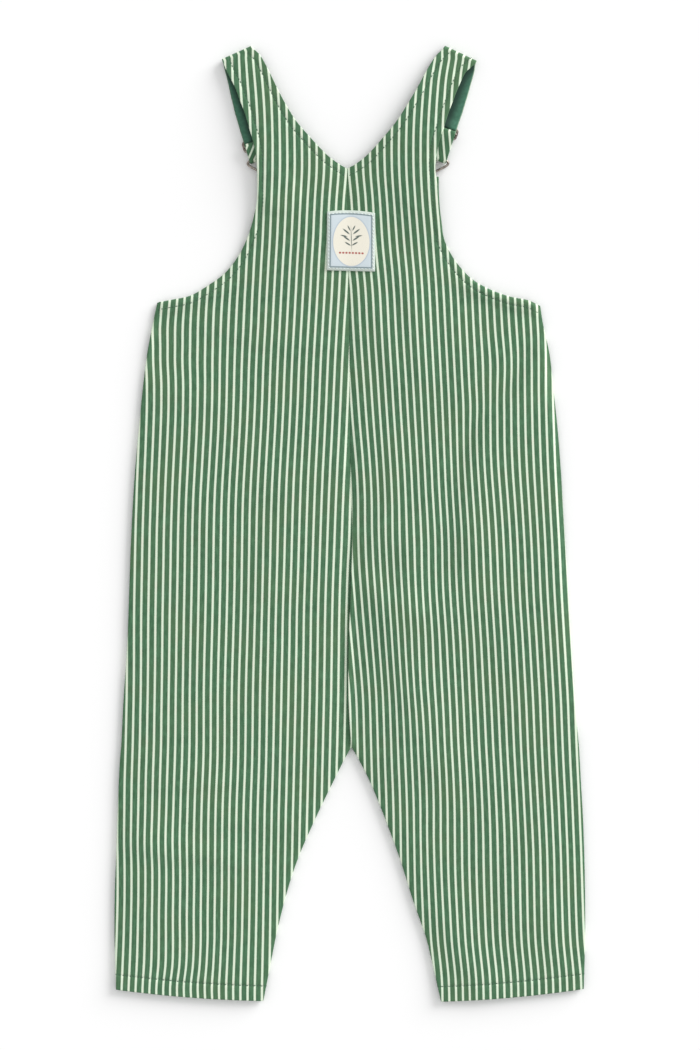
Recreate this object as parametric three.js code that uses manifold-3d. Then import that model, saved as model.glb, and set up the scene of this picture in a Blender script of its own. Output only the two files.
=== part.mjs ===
// Kids' bib overalls laid flat, back side up. Two back halves are cut in one with their shoulder straps and lie on two
// front halves. Each strap has a plain facing and folds over at the shoulder. Its front half goes through a slide,
// round the bar of a wire buckle and back to the slide. The buckles hook on metal buttons at the corners of the bib.
// Millimetres. +X is right and +Y is up for someone who looks down on the back, and +Z rises from the surface that the
// garment lies on. The origin is on that surface, in the middle of the garment's outline.
import * as THREE from "three";
import { mergeVertices } from "three/addons/utils/BufferGeometryUtils.js";
import Module from "manifold-3d";

const wasm = await Module();
wasm.setup();

// Cloth
const CLOTH = 1.0; // wall of every piece of cloth
const GAP = 0.3; // space between pieces that are sewn together or lie on each other
const LAYER = CLOTH + GAP; // from the middle of one layer of cloth to the middle of the next
const HEM_DEPTH = 12; // height of the turned-up leg hem
const HEM_TURN = 0.8; // what the turned cloth adds to the inside of the hem
const FRONT_INSET = 0.4; // how far the front's edges stay inside those of the back
const FRONT_Z = CLOTH / 2; // middle of the front's wall, whose underside is on the surface
const BACK_Z = FRONT_Z + LAYER; // middle of the back's wall where it lies right on the front
const HEM_Z = BACK_Z + 2 * HEM_TURN; // the same on the two hems
const HEM_STEP = 0.12; // share of the hem's height over which its thickness ends
const COLUMNS = 11; // steps across a half of the back
const BACK_STEPS = { leg: 12, body: 16, upper: 13, strap: 13 }; // steps up each stretch of the back
const FRONT_COLUMNS = 9; // steps across a half of the front
const FRONT_STEPS = { leg: 8, body: 10, bib: 13 }; // steps up each stretch of the front
const FACING_COLUMNS = 5; // steps across a facing
const FACING_STEPS = 4; // steps along its stretch on the back half
const BOTTOM = CLOTH / 2; // middle of a layer that lies on the surface

// Straps
const STRAP_WIDTH = 25;
const FOLD_RADIUS = 2.1; // shoulder fold, to the middle of the wall
const FACING_INSET = 0.5; // how far the facing stays inside the strap's edges
const FACING_ON_BACK = 0.22; // share of the back half's strap that the facing runs down
const TURN_STEPS = 6; // steps round a fold

// Wire buckle, in its own frame: v across the strap from its middle, a down the strap from the buckle's bar
const WIRE_RADIUS = 0.9;
const BAR_Z = CLOTH + GAP + WIRE_RADIUS; // middle of the buckle's bar
const BUTTON_A = 27; // from the bar to the middle of the button
const BUCKLE_RISE = 0.75; // how much higher the hooked end lies than the bar
const WIRE_STEPS = 46;
const WIRE_SIDES = 6;

// Button
const SHANK_RADIUS = 3;
const HEAD_RADIUS = 8;
const SLOT_HALF = SHANK_RADIUS + GAP + WIRE_RADIUS; // half the slot's width, to the middle of the wire
const SHANK_TOP = BAR_Z + BUCKLE_RISE + WIRE_RADIUS;
const HEAD_TOP = BAR_Z + BUCKLE_RISE - WIRE_RADIUS - GAP;

// Slide: a flat frame under the strap, with a centre bar raised over it for the strap's end
const SLIDE_HEIGHT = 9;
const SLIDE_HALF_WIDTH = 14.7;
const SLIDE_SIDE = 1.8; // width of its short sides
const SLIDE_RAIL = 1.6; // width of its long rails
const SLIDE_THICKNESS = 1.2;
const SLIDE_BAR_RADIUS = 0.6;
const OVER_RAIL_Z = SLIDE_THICKNESS + GAP + CLOTH / 2; // middle of the strap where it crosses the frame
const SLIDE_BAR_Z = OVER_RAIL_Z + LAYER + CLOTH / 2 + GAP + SLIDE_BAR_RADIUS;
const TAIL_TURN = SLIDE_BAR_RADIUS + GAP + CLOTH / 2; // turn of the strap's end round the raised bar
const TAIL_UNDER = 4; // length of the strap's end that is turned under the raised bar
const TAIL_STEPS = 3; // steps from the buckle's bar to the raised bar
const DIP = 5; // how far each side of the slide the strap rises over its frame

// Where each strap meets its buckle: the middle of the buckle's bar, how far the strap leans from upright, and how far
// up the strap the slide's bar sits
const HOOKS = {
  left: { x: -63, y: 275.2, lean: 17, slide: 11 },
  right: { x: 60.3, y: 275.6, lean: 18, slide: 21 },
};

// A table whose rows become objects with the named columns.
function table(columns, rows) {
  const names = columns.split(" ");
  return rows.map((row) => Object.fromEntries(names.map((name, i) => [name, row[i]])));
}

// Sections across a half of the back, a row for each. outL and outYL give the outer end on the left half: how far it
// is from the centre line and how high up, and inL and inYL give the inner end. R stands for the right half. zOut and
// zIn are the height of the cloth's middle at the ends, crown is how much it rises between them, and bow is how far a
// section sags towards the hem.
const LEG = table("outL outYL inL inYL outR outYR inR inYR zOut zIn crown bow", [
  [175, -349, 65, -357.5, 175, -348.5, 68.5, -358, HEM_Z, HEM_Z, 0.3, 1.6],
  [176, -316, 57, -316, 176, -316, 59, -316, 1.9, 1.9, 1.5, 1.2],
  [176, -282, 49, -282, 176, -282, 47.5, -282, 1.8, 1.8, 1.8, 0.6],
  [175, -252, 39.5, -252, 175.5, -252, 38, -252, 1.8, 1.8, 2.0, 0.2],
  [174, -222, 26.5, -222, 174.5, -222, 27, -222, 1.8, 1.8, 2.0, 0],
  [173, -196, 14, -196, 173, -196, 16.5, -196, 1.8, 1.8, 2.1, 0],
  [172, -177, 4, -176, 172, -177, 6.5, -176, 1.8, 2.0, 2.2, 0],
  [171, -166, -0.9, -167.5, 171.3, -166, 1.3, -167.5, 1.8, 2.2, 2.2, 0],
]);

// From the crotch to the armhole's corner. The inner end is on the centre seam, at the height seamY.
const BODY = table("outL outYL outR outYR seamY zOut zIn crown", [
  [171, -166, 171.3, -166, -167.5, 1.8, 2.2, 2.2],
  [169.3, -132, 168.3, -132, -132, 1.8, 2.2, 2.4],
  [166.8, -95, 166, -95, -95, 1.8, 2.2, 2.4],
  [165.3, -57, 164, -57, -57, 1.8, 2.4, 2.3],
  [163.7, -12, 161, -12, -12, 1.8, 2.8, 2.0],
  [161.2, 33, 158.3, 33, 33, 1.8, 3.0, 1.8],
  [158, 70, 155.5, 70, 70, 1.8, 3.0, 1.7],
  [155, 100, 152.3, 100, 100, 1.8, 3.0, 1.6],
  [151.8, 126, 149.5, 126, 126, 1.8, 3.0, 1.5],
  [147.6, 149, 144.6, 149, 149, 1.8, 3.0, 1.3],
  [144, 165.5, 142.4, 163, 166, 1.8, 3.0, 1.0],
]);

// From the armhole's corner to the point of the V neck.
const UPPER = table("outL outYL outR outYR seamY zOut zIn crown", [
  [144, 165.5, 142.4, 163, 166, 1.8, 3.0, 1.0],
  [134, 167.3, 133.6, 167, 174, 1.8, 3.0, 1.1],
  [119.7, 170.5, 120.7, 169.5, 186, 1.9, 3.1, 1.1],
  [105, 179, 105.3, 175, 199, 2.1, 3.2, 1.0],
  [92.5, 188.5, 91.5, 183, 211, 2.4, 3.3, 0.9],
  [83, 201, 80.5, 194.5, 223, 2.9, 3.4, 0.8],
  [76.8, 213.5, 73.3, 206, 234, 3.6, 3.5, 0.7],
  [72.3, 227.5, 69.5, 216.5, 246, 4.5, 3.7, 0.6],
  [69.5, 241, 67.8, 229, 256, 5.5, 3.9, 0.5],
  [69, 254, 66.3, 246.5, 265.7, 6.5, 4.2, 0.4],
]);

// From the point of the V neck up the back half of the strap to the shoulder fold.
const STRAP = table("outL outYL inL inYL outR outYR inR inYR zOut zIn crown bow", [
  [69, 254, 2.3, 265.7, 66.3, 246.5, -2, 265.7, 6.5, 4.2, 0.4, 0],
  [69.1, 263.5, 8.5, 269.3, 63.7, 263.5, 4.3, 269, 7.2, 4.7, 0.3, 0],
  [69.8, 273.5, 18.3, 276.8, 64.3, 274, 14.2, 276.8, 7.6, 5.6, 0.2, 0],
  [71.9, 284.5, 31.3, 290.5, 66.6, 285.5, 27, 291, 7.7, 6.8, 0.1, 0],
  [74.9, 295, 40.7, 301.5, 69.9, 296, 35.9, 302, 7.7, 7.4, 0, 0],
  [78.3, 306.5, 48.6, 314.3, 73.5, 307, 43.6, 314.2, 7.3, 7.3, 0, 0],
  [82.4, 317.5, 55.4, 327.4, 77.4, 317.5, 51.4, 327.3, 6.6, 6.6, 0, 0],
  [86.5, 328, 61.6, 340.3, 82, 329, 57.9, 339.5, 5.7, 5.7, 0, 0],
  [91.8, 338, 68.1, 351.8, 87.1, 339, 65.1, 351, 5.0, 5.0, 0, 0],
  [95.9, 348, 73.9, 358, 95, 346.8, 71.4, 358, 4.7, 4.7, 0, 0],
]);

// The front half of each strap between the shoulder fold and the straight run to the slide: its outer edge, from the
// centre line and up, and how far it leans from upright.
const FRONT_STRAP = table("outL outYL leanL outR outYR leanR", [
  [93.3, 339, 23, 93.2, 339, 23.5],
  [91.4, 332, 21, 91.3, 332, 22],
  [88.8, 320, 18.5, 87.9, 320, 20],
  [85.9, 308, 17.2, 84.2, 308, 18.6],
]);

// From the armhole's corner to the top of the bib, for the front.
const BIB = table("outL outYL outR outYR seamY", [
  [144, 165.5, 142.4, 163, 166],
  [119.7, 170.5, 120.7, 169.5, 178],
  [92.5, 188.5, 91.5, 183, 196],
  [76.8, 213.5, 73.3, 206, 215],
  [70.5, 233, 68.5, 229, 232],
  [68.6, 247, 66.9, 246, 246.5],
  [67.4, 259.5, 66.7, 259.5, 259.5],
]);
const BIB_LIFT = SHANK_TOP + GAP; // height of the bib's underside over a button
const LIFT_FLAT = 11; // round the button's middle the bib is this far at its full height
const LIFT_REACH = 36; // and here it is down on the surface
const LIFT_SPARE = 0.5; // how much higher than one layer the back lies over the lifted bib

// The centre-back seam from the crotch up: it wanders a little to either side.
const CENTRE_SEAM = table("y x", [
  [-167.5, 1.1],
  [-155, -1.8],
  [-118, -2.4],
  [-72, -2.1],
  [-46, -0.6],
  [-20, 0.1],
  [93, 0.1],
  [130, -0.3],
  [168, -0.6],
  [205, -1.2],
  [265.7, -2.1],
]);

// The largest folds of the back: middle, length, width across, angle from +X, and height, negative for a trough.
const FOLDS = table("x y length width angle height", [
  [34, -117, 110, 26, -69, -1.0],
  [54, -108, 120, 30, -72, 0.8],
  [20, 5, 90, 24, 92, -0.7],
  [-126, 148, 60, 16, -58, -0.7],
  [-108, 132, 90, 26, -64, 0.7],
  [124, 147, 58, 16, 60, -0.7],
  [108, 126, 90, 26, 66, 0.6],
  [-128, 96, 110, 24, 84, -0.6],
  [117, 92, 120, 26, 96, -0.7],
  [-86, -230, 150, 34, 82, -0.7],
  [-126, -322, 60, 24, 74, -0.7],
  [104, -236, 150, 34, 98, -0.7],
  [-34, -158, 90, 26, 38, -0.7],
  [40, -168, 90, 26, 142, -0.6],
  [-70, 40, 160, 40, 86, 0.5],
  [84, 20, 150, 40, 94, 0.4],
]);
const FOLD_EDGE = 0.12; // share of a section over which a fold fades out at an edge

// Label: corners, from top left clockwise
const LABEL = [
  [-16.9, 233.3],
  [18.7, 232.2],
  [18.7, 188.8],
  [-17.3, 189.8],
];
const LABEL_STEPS = 8;

const V2 = (x, y) => new THREE.Vector2(x, y);
const V3 = (x, y, z) => new THREE.Vector3(x, y, z);
const UP = V3(0, 0, 1);
const toRadians = THREE.MathUtils.degToRad;
const smooth = THREE.MathUtils.smoothstep;

// Where the centre seam is at a height.
function seamX(y) {
  const last = CENTRE_SEAM.length - 2;
  const i = Math.min(last, Math.max(0, CENTRE_SEAM.findIndex((row) => row.y > y) - 1));
  const [a, b] = [CENTRE_SEAM[i], CENTRE_SEAM[i + 1]];
  return THREE.MathUtils.lerp(a.x, b.x, THREE.MathUtils.clamp((y - a.y) / (b.y - a.y), 0, 1));
}

// One end of a section, from a row's columns for that side.
function endOf(row, name, side) {
  const letter = side < 0 ? "L" : "R";
  if (name === "in" && "seamY" in row) return V2(seamX(row.seamY) + (side * GAP) / 2, row.seamY);
  return V2(side * row[name + letter], row[name + "Y" + letter]);
}

// A stretch of a half between the first and the last row of a table, as a function: t from 0 to 1 gives the section.
function stretch(rows, side, inset = 0) {
  const out = new THREE.SplineCurve(rows.map((row) => endOf(row, "out", side)));
  const inner = new THREE.SplineCurve(rows.map((row) => endOf(row, "in", side)));
  const heights = new THREE.SplineCurve(rows.map((row) => V2(row.zOut ?? 0, row.zIn ?? 0)));
  const swell = new THREE.SplineCurve(rows.map((row) => V2(row.crown ?? 0, row.bow ?? 0)));
  return (t) => {
    const across = inner.getPoint(t).sub(out.getPoint(t)).normalize().multiplyScalar(inset);
    const [z, extra] = [heights.getPoint(t), swell.getPoint(t)];
    return {
      out: out.getPoint(t).add(across),
      in: inner.getPoint(t).sub(across),
      zOut: z.x,
      zIn: z.y,
      crown: extra.x,
      bow: extra.y,
    };
  };
}

// A place on a section in plan, u from 0 at its outer end to 1 at its inner end.
function planPoint(section, u) {
  const p = section.out.clone().lerp(section.in, u);
  p.y -= section.bow * 4 * u * (1 - u);
  return p;
}

// How much the folds raise or lower the back.
function foldHeight(p) {
  return FOLDS.reduce((sum, fold) => {
    const away = V2(p.x - fold.x, p.y - fold.y).rotateAround(V2(0, 0), -toRadians(fold.angle));
    const along = (2 * away.x) / fold.length;
    const across = (2 * away.y) / fold.width;
    return sum + fold.height * Math.exp(-(across ** 2) - along ** 4);
  }, 0);
}

// The button of a hook, in plan.
function buttonPlace(hook) {
  const lean = toRadians(hook.lean);
  const side = Math.sign(hook.x);
  return V2(hook.x - side * BUTTON_A * Math.sin(lean), hook.y - BUTTON_A * Math.cos(lean));
}

// The middle of the front's wall: flat on the surface, and lifted over the buttons.
function frontHeight(p) {
  const lifts = Object.values(HOOKS).map((hook) => {
    return 1 - smooth(buttonPlace(hook).distanceTo(p), LIFT_FLAT, LIFT_REACH);
  });
  return FRONT_Z + BIB_LIFT * Math.max(...lifts);
}

// The middle of the back's wall at a place on a section.
function backHeight(section, u) {
  const p = planPoint(section, u);
  const edge = smooth(Math.min(u, 1 - u), 0, FOLD_EDGE);
  const own = THREE.MathUtils.lerp(section.zOut, section.zIn, u) + section.crown * (1 - (2 * u - 1) ** 4);
  const lifted = (frontHeight(p) - FRONT_Z) / BIB_LIFT;
  return Math.max(own + edge * foldHeight(p), frontHeight(p) + LAYER + LIFT_SPARE * lifted);
}

// A row of a wall: for each step across, the middle of the wall and the direction of its outside.
function rowOf(section, steps, heightAt, normal = UP, turned = 0) {
  return Array.from({ length: steps + 1 }, (_, i) => {
    const p = planPoint(section, i / steps);
    return { middle: V3(p.x, p.y, heightAt(section, i / steps)), normal, turned };
  });
}

// A closed geometry from a grid of points, wrapped as a wall with its outside, inside and four edges. turned is what a
// hem adds to the inside.
function wall(rows, thickness = CLOTH) {
  const across = rows[0].length;
  const positions = [];
  for (const face of [1, -1])
    for (const row of rows)
      for (const { middle, normal, turned } of row) {
        const offset = face * (thickness / 2) - (face < 0 ? turned : 0);
        positions.push(...middle.clone().addScaledVector(normal, offset));
      }
  const at = (face, r, c) => (face * rows.length + r) * across + c;
  const index = [];
  const quad = (a, b, c, d) => index.push(a, b, c, a, c, d);
  for (let r = 0; r + 1 < rows.length; r++)
    for (let c = 0; c + 1 < across; c++) {
      quad(at(0, r, c), at(0, r, c + 1), at(0, r + 1, c + 1), at(0, r + 1, c));
      quad(at(1, r, c), at(1, r + 1, c), at(1, r + 1, c + 1), at(1, r, c + 1));
    }
  for (let r = 0; r + 1 < rows.length; r++)
    for (const [c, turn] of [[0, false], [across - 1, true]]) {
      const corners = [at(0, r, c), at(0, r + 1, c), at(1, r + 1, c), at(1, r, c)];
      quad(...(turn ? corners.reverse() : corners));
    }
  for (let c = 0; c + 1 < across; c++)
    for (const [r, turn] of [[0, true], [rows.length - 1, false]]) {
      const corners = [at(0, r, c), at(0, r, c + 1), at(1, r, c + 1), at(1, r, c)];
      quad(...(turn ? corners.reverse() : corners));
    }
  return facingOut(positions, index);
}

// A geometry whose faces point out, whichever way round its grid was walked.
function facingOut(positions, index) {
  const at = (i) => V3(positions[3 * i], positions[3 * i + 1], positions[3 * i + 2]);
  let volume = 0;
  for (let i = 0; i < index.length; i += 3)
    volume += at(index[i]).dot(at(index[i + 1]).cross(at(index[i + 2])));
  if (volume < 0) index.reverse();
  const geometry = new THREE.BufferGeometry();
  geometry.setAttribute("position", new THREE.Float32BufferAttribute(positions, 3));
  geometry.setIndex(index);
  return geometry;
}

// Rows round a fold or a bar, without its two ends: a half turn about a line through the section, from one layer to
// the next. away points in plan from the layers to the fold, and start is 1 where the turn starts on the upper layer.
function turnRows(section, steps, away, centreZ, radius, start) {
  return Array.from({ length: TURN_STEPS - 1 }, (_, k) => {
    const angle = (Math.PI * (k + 1)) / TURN_STEPS;
    const normal = V3(away.x * Math.sin(angle), away.y * Math.sin(angle), start * Math.cos(angle));
    const moved = moveSection(section, away, radius * Math.sin(angle));
    return rowOf(moved, steps, () => centreZ + radius * normal.z, normal);
  });
}

function moveSection(section, direction, distance) {
  const shift = V2(direction.x, direction.y).multiplyScalar(distance);
  return { ...section, out: section.out.clone().add(shift), in: section.in.clone().add(shift) };
}

function insetSection(section, inset) {
  const across = section.in.clone().sub(section.out).normalize().multiplyScalar(inset);
  return { ...section, out: section.out.clone().add(across), in: section.in.clone().sub(across) };
}

// The shoulder fold of a strap: the section at which it starts to turn, and the direction beyond it.
function shoulderFold(side) {
  const top = stretch(STRAP, side)(1);
  const line = top.in.clone().sub(top.out).normalize();
  const away = V2(-line.y, line.x).multiplyScalar(-side);
  return { section: moveSection(top, away, -FOLD_RADIUS - CLOTH / 2), away };
}

// The back half of a strap as a stretch that stops where the fold starts.
function strapToFold(side) {
  const whole = stretch(STRAP, side);
  const fold = shoulderFold(side);
  return (t) => {
    const pull = smooth(t, 0.8, 1) * (FOLD_RADIUS + CLOTH / 2);
    return moveSection(whole(t), fold.away, -pull);
  };
}

// A section across the front half of the strap, from its outer end and its lean.
function strapSection(outer, leanDegrees, side) {
  const lean = toRadians(leanDegrees);
  const inner = outer.clone().add(V2(-side * Math.cos(lean), Math.sin(lean)).multiplyScalar(STRAP_WIDTH));
  return { out: outer, in: inner, crown: 0, bow: 0 };
}

// The frame of a hook: along points down the strap and across points away from the centre line.
function hookFrame(name) {
  const hook = HOOKS[name];
  const side = Math.sign(hook.x);
  const lean = toRadians(hook.lean);
  const along = V2(-side * Math.sin(lean), -Math.cos(lean));
  const across = V2(side * Math.cos(lean), -Math.sin(lean));
  const place = (v, a) => V2(hook.x, hook.y).addScaledVector(across, v).addScaledVector(along, a);
  const section = (a) => strapSection(place(STRAP_WIDTH / 2, a), hook.lean, side);
  return { hook, side, along, across, place, section };
}

// The front half of a strap from the shoulder fold to the buckle's bar, as sections with the height of its middle.
function frontStrapRun(name) {
  const { hook, side, section } = hookFrame(name);
  const letter = side < 0 ? "L" : "R";
  const curved = FRONT_STRAP.map((row) => {
    const outer = V2(side * row["out" + letter], row["outY" + letter]);
    return { section: strapSection(outer, row["lean" + letter], side), z: BOTTOM };
  });
  const straight = [
    { a: -hook.slide - 2 * DIP, z: BOTTOM },
    { a: -hook.slide - DIP, z: OVER_RAIL_Z },
    { a: -hook.slide, z: OVER_RAIL_Z },
    { a: -hook.slide + DIP, z: OVER_RAIL_Z },
    { a: -1, z: BOTTOM },
    { a: 0, z: BOTTOM },
  ];
  return [
    { section: shoulderFold(side).section, z: BOTTOM },
    ...curved,
    ...straight.map(({ a, z }) => ({ section: section(a), z })),
  ];
}

// Numbers at even steps from the first to the last.
function spread(first, last, steps) {
  return Array.from({ length: steps + 1 }, (_, i) => first + ((last - first) * i) / steps);
}

// The share of the leg's stretch that the hem takes.
const HEM_SHARE = HEM_DEPTH / (LEG[1].outYL - LEG[0].outYL) / (LEG.length - 1);

// What the hem adds to the inside of the wall at a place on the leg's stretch.
function hemTurn(t) {
  return t <= HEM_SHARE ? HEM_TURN : 0;
}

// Places on the leg's stretch: two on the hem, one just over it and even steps to the crotch.
function legPlaces(steps) {
  const over = HEM_SHARE * (1 + HEM_STEP);
  return [0, HEM_SHARE, over, ...spread(over, 1, steps).slice(1)];
}

// A back half with its strap: leg, body and upper back, the strap up to the shoulder, its front half down to the
// buckle, and its end back up to the slide, where it is turned round the raised bar.
function backHalf(name) {
  const { hook, side, along, section } = hookFrame(name);
  const leg = stretch(LEG, side);
  const rows = legPlaces(BACK_STEPS.leg).map((t) => {
    const turned = hemTurn(t);
    const height = (row, u) => Math.max(backHeight(row, u), turned ? HEM_Z : 0);
    return rowOf(leg(t), COLUMNS, height, UP, turned);
  });
  const rest = [
    [stretch(BODY, side), BACK_STEPS.body],
    [stretch(UPPER, side), BACK_STEPS.upper],
    [strapToFold(side), BACK_STEPS.strap],
  ];
  for (const [part, steps] of rest)
    rows.push(...spread(1 / steps, 1, steps - 1).map((t) => rowOf(part(t), COLUMNS, backHeight)));
  const fold = shoulderFold(side);
  rows.push(...turnRows(fold.section, COLUMNS, fold.away, BOTTOM + FOLD_RADIUS, FOLD_RADIUS, 1));
  const down = UP.clone().negate();
  for (const step of frontStrapRun(name)) rows.push(rowOf(step.section, COLUMNS, () => step.z, down));
  const barRadius = WIRE_RADIUS + GAP + CLOTH / 2;
  rows.push(...turnRows(section(0), COLUMNS, along, BAR_Z, barRadius, -1));
  const tailTop = SLIDE_BAR_Z + TAIL_TURN;
  for (const share of spread(0, 1, TAIL_STEPS)) {
    const z = THREE.MathUtils.lerp(BAR_Z + barRadius, tailTop, share);
    rows.push(rowOf(section(-hook.slide * share), COLUMNS, () => z));
  }
  rows.push(...turnRows(section(-hook.slide), COLUMNS, along.clone().negate(), SLIDE_BAR_Z, TAIL_TURN, 1));
  for (const a of [0, TAIL_UNDER])
    rows.push(rowOf(section(a - hook.slide), COLUMNS, () => SLIDE_BAR_Z - TAIL_TURN, down));
  return wall(rows);
}

// A front half: leg, body and bib, flat on the surface. The hem is turned to its upper side, which is the inside.
function frontHalf(side) {
  const down = UP.clone().negate();
  const height = (section, u) => frontHeight(planPoint(section, u));
  const leg = stretch(LEG, side, FRONT_INSET);
  const rows = legPlaces(FRONT_STEPS.leg).map((t) => rowOf(leg(t), FRONT_COLUMNS, height, down, hemTurn(t)));
  for (const [sections, steps] of [[BODY, FRONT_STEPS.body], [BIB, FRONT_STEPS.bib]]) {
    const part = stretch(sections, side, FRONT_INSET);
    rows.push(...spread(1 / steps, 1, steps - 1).map((t) => rowOf(part(t), FRONT_COLUMNS, height, down)));
  }
  return wall(rows);
}

// The facing inside a strap: from the slide up the front half, round the shoulder fold and a little down the back.
function facing(name) {
  const { hook, side, section } = hookFrame(name);
  const down = UP.clone().negate();
  const row = (place, heightAt, normal) => rowOf(insetSection(place, FACING_INSET), FACING_COLUMNS, heightAt, normal);
  const end = section(-hook.slide - TAIL_TURN - CLOTH / 2 - GAP);
  const rows = [row(end, () => OVER_RAIL_Z + LAYER, down)];
  const toSlide = frontStrapRun(name).filter((step) => step.section.out.y > end.out.y + DIP / 2);
  for (const step of toSlide.reverse()) rows.push(row(step.section, () => step.z + LAYER, down));
  const fold = shoulderFold(side);
  const inner = insetSection(fold.section, FACING_INSET);
  const turn = turnRows(inner, FACING_COLUMNS, fold.away, BOTTOM + FOLD_RADIUS, FOLD_RADIUS - LAYER, 1);
  rows.push(...turn.reverse());
  const strap = strapToFold(side);
  for (const t of spread(1, 1 - FACING_ON_BACK, FACING_STEPS))
    rows.push(row(strap(t), (place, u) => backHeight(place, u) - LAYER));
  return wall(rows);
}

// The height of the back's middle at a place near the centre seam: the section through that place is found by halving.
function heightOnBack(p) {
  const side = p.x < seamX(p.y) ? -1 : 1;
  const part = stretch(UPPER, side);
  const above = (t) => {
    const { out, in: inner } = part(t);
    return side * (inner.clone().sub(out).cross(p.clone().sub(out))) > 0;
  };
  let [low, high] = [0, 1];
  for (let k = 0; k < 20; k++) {
    const middle = (low + high) / 2;
    if (above(middle)) high = middle;
    else low = middle;
  }
  const found = part(low);
  const line = found.in.clone().sub(found.out);
  const u = THREE.MathUtils.clamp(p.clone().sub(found.out).dot(line) / line.lengthSq(), 0, 1);
  return backHeight(found, u);
}

// The label, made from the back's own height and moved out by its gap.
function label() {
  const [topLeft, topRight, bottomRight, bottomLeft] = LABEL.map(([x, y]) => V2(x, y));
  const rows = spread(0, 1, LABEL_STEPS).map((t) => {
    const [start, end] = [topLeft.clone().lerp(bottomLeft, t), topRight.clone().lerp(bottomRight, t)];
    return spread(0, 1, LABEL_STEPS).map((u) => {
      const p = start.clone().lerp(end, u);
      return { middle: V3(p.x, p.y, heightOnBack(p) + LAYER), normal: UP, turned: 0 };
    });
  });
  return wall(rows);
}

// A manifold solid from a geometry.
function solid(geometry) {
  const bare = geometry.clone();
  bare.deleteAttribute("normal");
  bare.deleteAttribute("uv");
  const merged = mergeVertices(bare, 1e-4);
  return new wasm.Manifold(
    new wasm.Mesh({
      numProp: 3,
      vertProperties: merged.attributes.position.array,
      triVerts: new Uint32Array(merged.index.array),
    }),
  );
}

// One geometry from several that overlap.
function joined(geometries) {
  const [first, ...others] = geometries.map(solid);
  const mesh = others.reduce((whole, next) => whole.add(next), first).getMesh();
  const geometry = new THREE.BufferGeometry();
  geometry.setAttribute("position", new THREE.BufferAttribute(mesh.vertProperties, 3));
  geometry.setIndex(new THREE.BufferAttribute(mesh.triVerts, 1));
  return geometry;
}

// A rectangle with its middle at the origin.
function rectangle(path, halfWidth, halfHeight) {
  path.moveTo(-halfWidth, -halfHeight);
  path.lineTo(halfWidth, -halfHeight);
  path.lineTo(halfWidth, halfHeight);
  path.lineTo(-halfWidth, halfHeight);
  path.closePath();
  return path;
}

// A slide in its own frame: a flat frame, and a centre bar raised over the strap on two posts.
function slide() {
  const frame = rectangle(new THREE.Shape(), SLIDE_HALF_WIDTH, SLIDE_HEIGHT / 2);
  frame.holes.push(rectangle(new THREE.Path(), SLIDE_HALF_WIDTH - SLIDE_SIDE, SLIDE_HEIGHT / 2 - SLIDE_RAIL));
  const flat = new THREE.ExtrudeGeometry(frame, { depth: SLIDE_THICKNESS, bevelEnabled: false });
  const postX = SLIDE_HALF_WIDTH - SLIDE_SIDE / 2;
  const bar = new THREE.CylinderGeometry(SLIDE_BAR_RADIUS, SLIDE_BAR_RADIUS, 2 * postX, 10);
  bar.rotateZ(Math.PI / 2).translate(0, 0, SLIDE_BAR_Z);
  const postHeight = SLIDE_BAR_Z + SLIDE_BAR_RADIUS - SLIDE_THICKNESS / 2;
  const posts = [-1, 1].map((end) => {
    const post = new THREE.CylinderGeometry(SLIDE_BAR_RADIUS * 1.15, SLIDE_BAR_RADIUS * 1.15, postHeight, 10);
    return post.rotateX(Math.PI / 2).translate(end * postX, 0, SLIDE_THICKNESS / 2 + postHeight / 2);
  });
  return joined([flat, bar, ...posts]);
}

// A wire buckle in its own frame, v as x and a as -y: one closed loop of wire with a bar for the strap, shoulders that
// draw in and a slot whose round end sits on the button's shank.
function buckle() {
  const half = [
    [7, 0],
    [12.4, 0],
    [14.5, 1.3],
    [13.7, 3.6],
    [9.6, 7.8],
    [5.6, 12],
    [SLOT_HALF, 16.5],
    [SLOT_HALF, 22],
    [SLOT_HALF, BUTTON_A],
    [SLOT_HALF * Math.SQRT1_2, BUTTON_A + SLOT_HALF * Math.SQRT1_2],
  ];
  const rise = (a) => BAR_Z + BUCKLE_RISE * Math.min(1, a / BUTTON_A);
  const loop = [
    [0, 0],
    ...half,
    [0, BUTTON_A + SLOT_HALF],
    ...half.map(([v, a]) => [-v, a]).reverse(),
  ];
  const path = new THREE.CatmullRomCurve3(loop.map(([v, a]) => V3(v, -a, rise(a))), true, "centripetal");
  const positions = [];
  const index = [];
  for (let i = 0; i < WIRE_STEPS; i++) {
    const t = i / WIRE_STEPS;
    const sideways = path.getTangentAt(t).cross(UP).normalize();
    for (let k = 0; k < WIRE_SIDES; k++) {
      const angle = (2 * Math.PI * (k + 0.5)) / WIRE_SIDES;
      const spoke = sideways.clone().multiplyScalar(Math.cos(angle)).addScaledVector(UP, Math.sin(angle));
      positions.push(...path.getPointAt(t).addScaledVector(spoke, WIRE_RADIUS));
    }
  }
  for (let i = 0; i < WIRE_STEPS; i++)
    for (let k = 0; k < WIRE_SIDES; k++) {
      const next = (i + 1) % WIRE_STEPS;
      const [a, b] = [i * WIRE_SIDES + k, i * WIRE_SIDES + ((k + 1) % WIRE_SIDES)];
      const [c, d] = [next * WIRE_SIDES + ((k + 1) % WIRE_SIDES), next * WIRE_SIDES + k];
      index.push(a, b, c, a, c, d);
    }
  return facingOut(positions, index);
}

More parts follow.
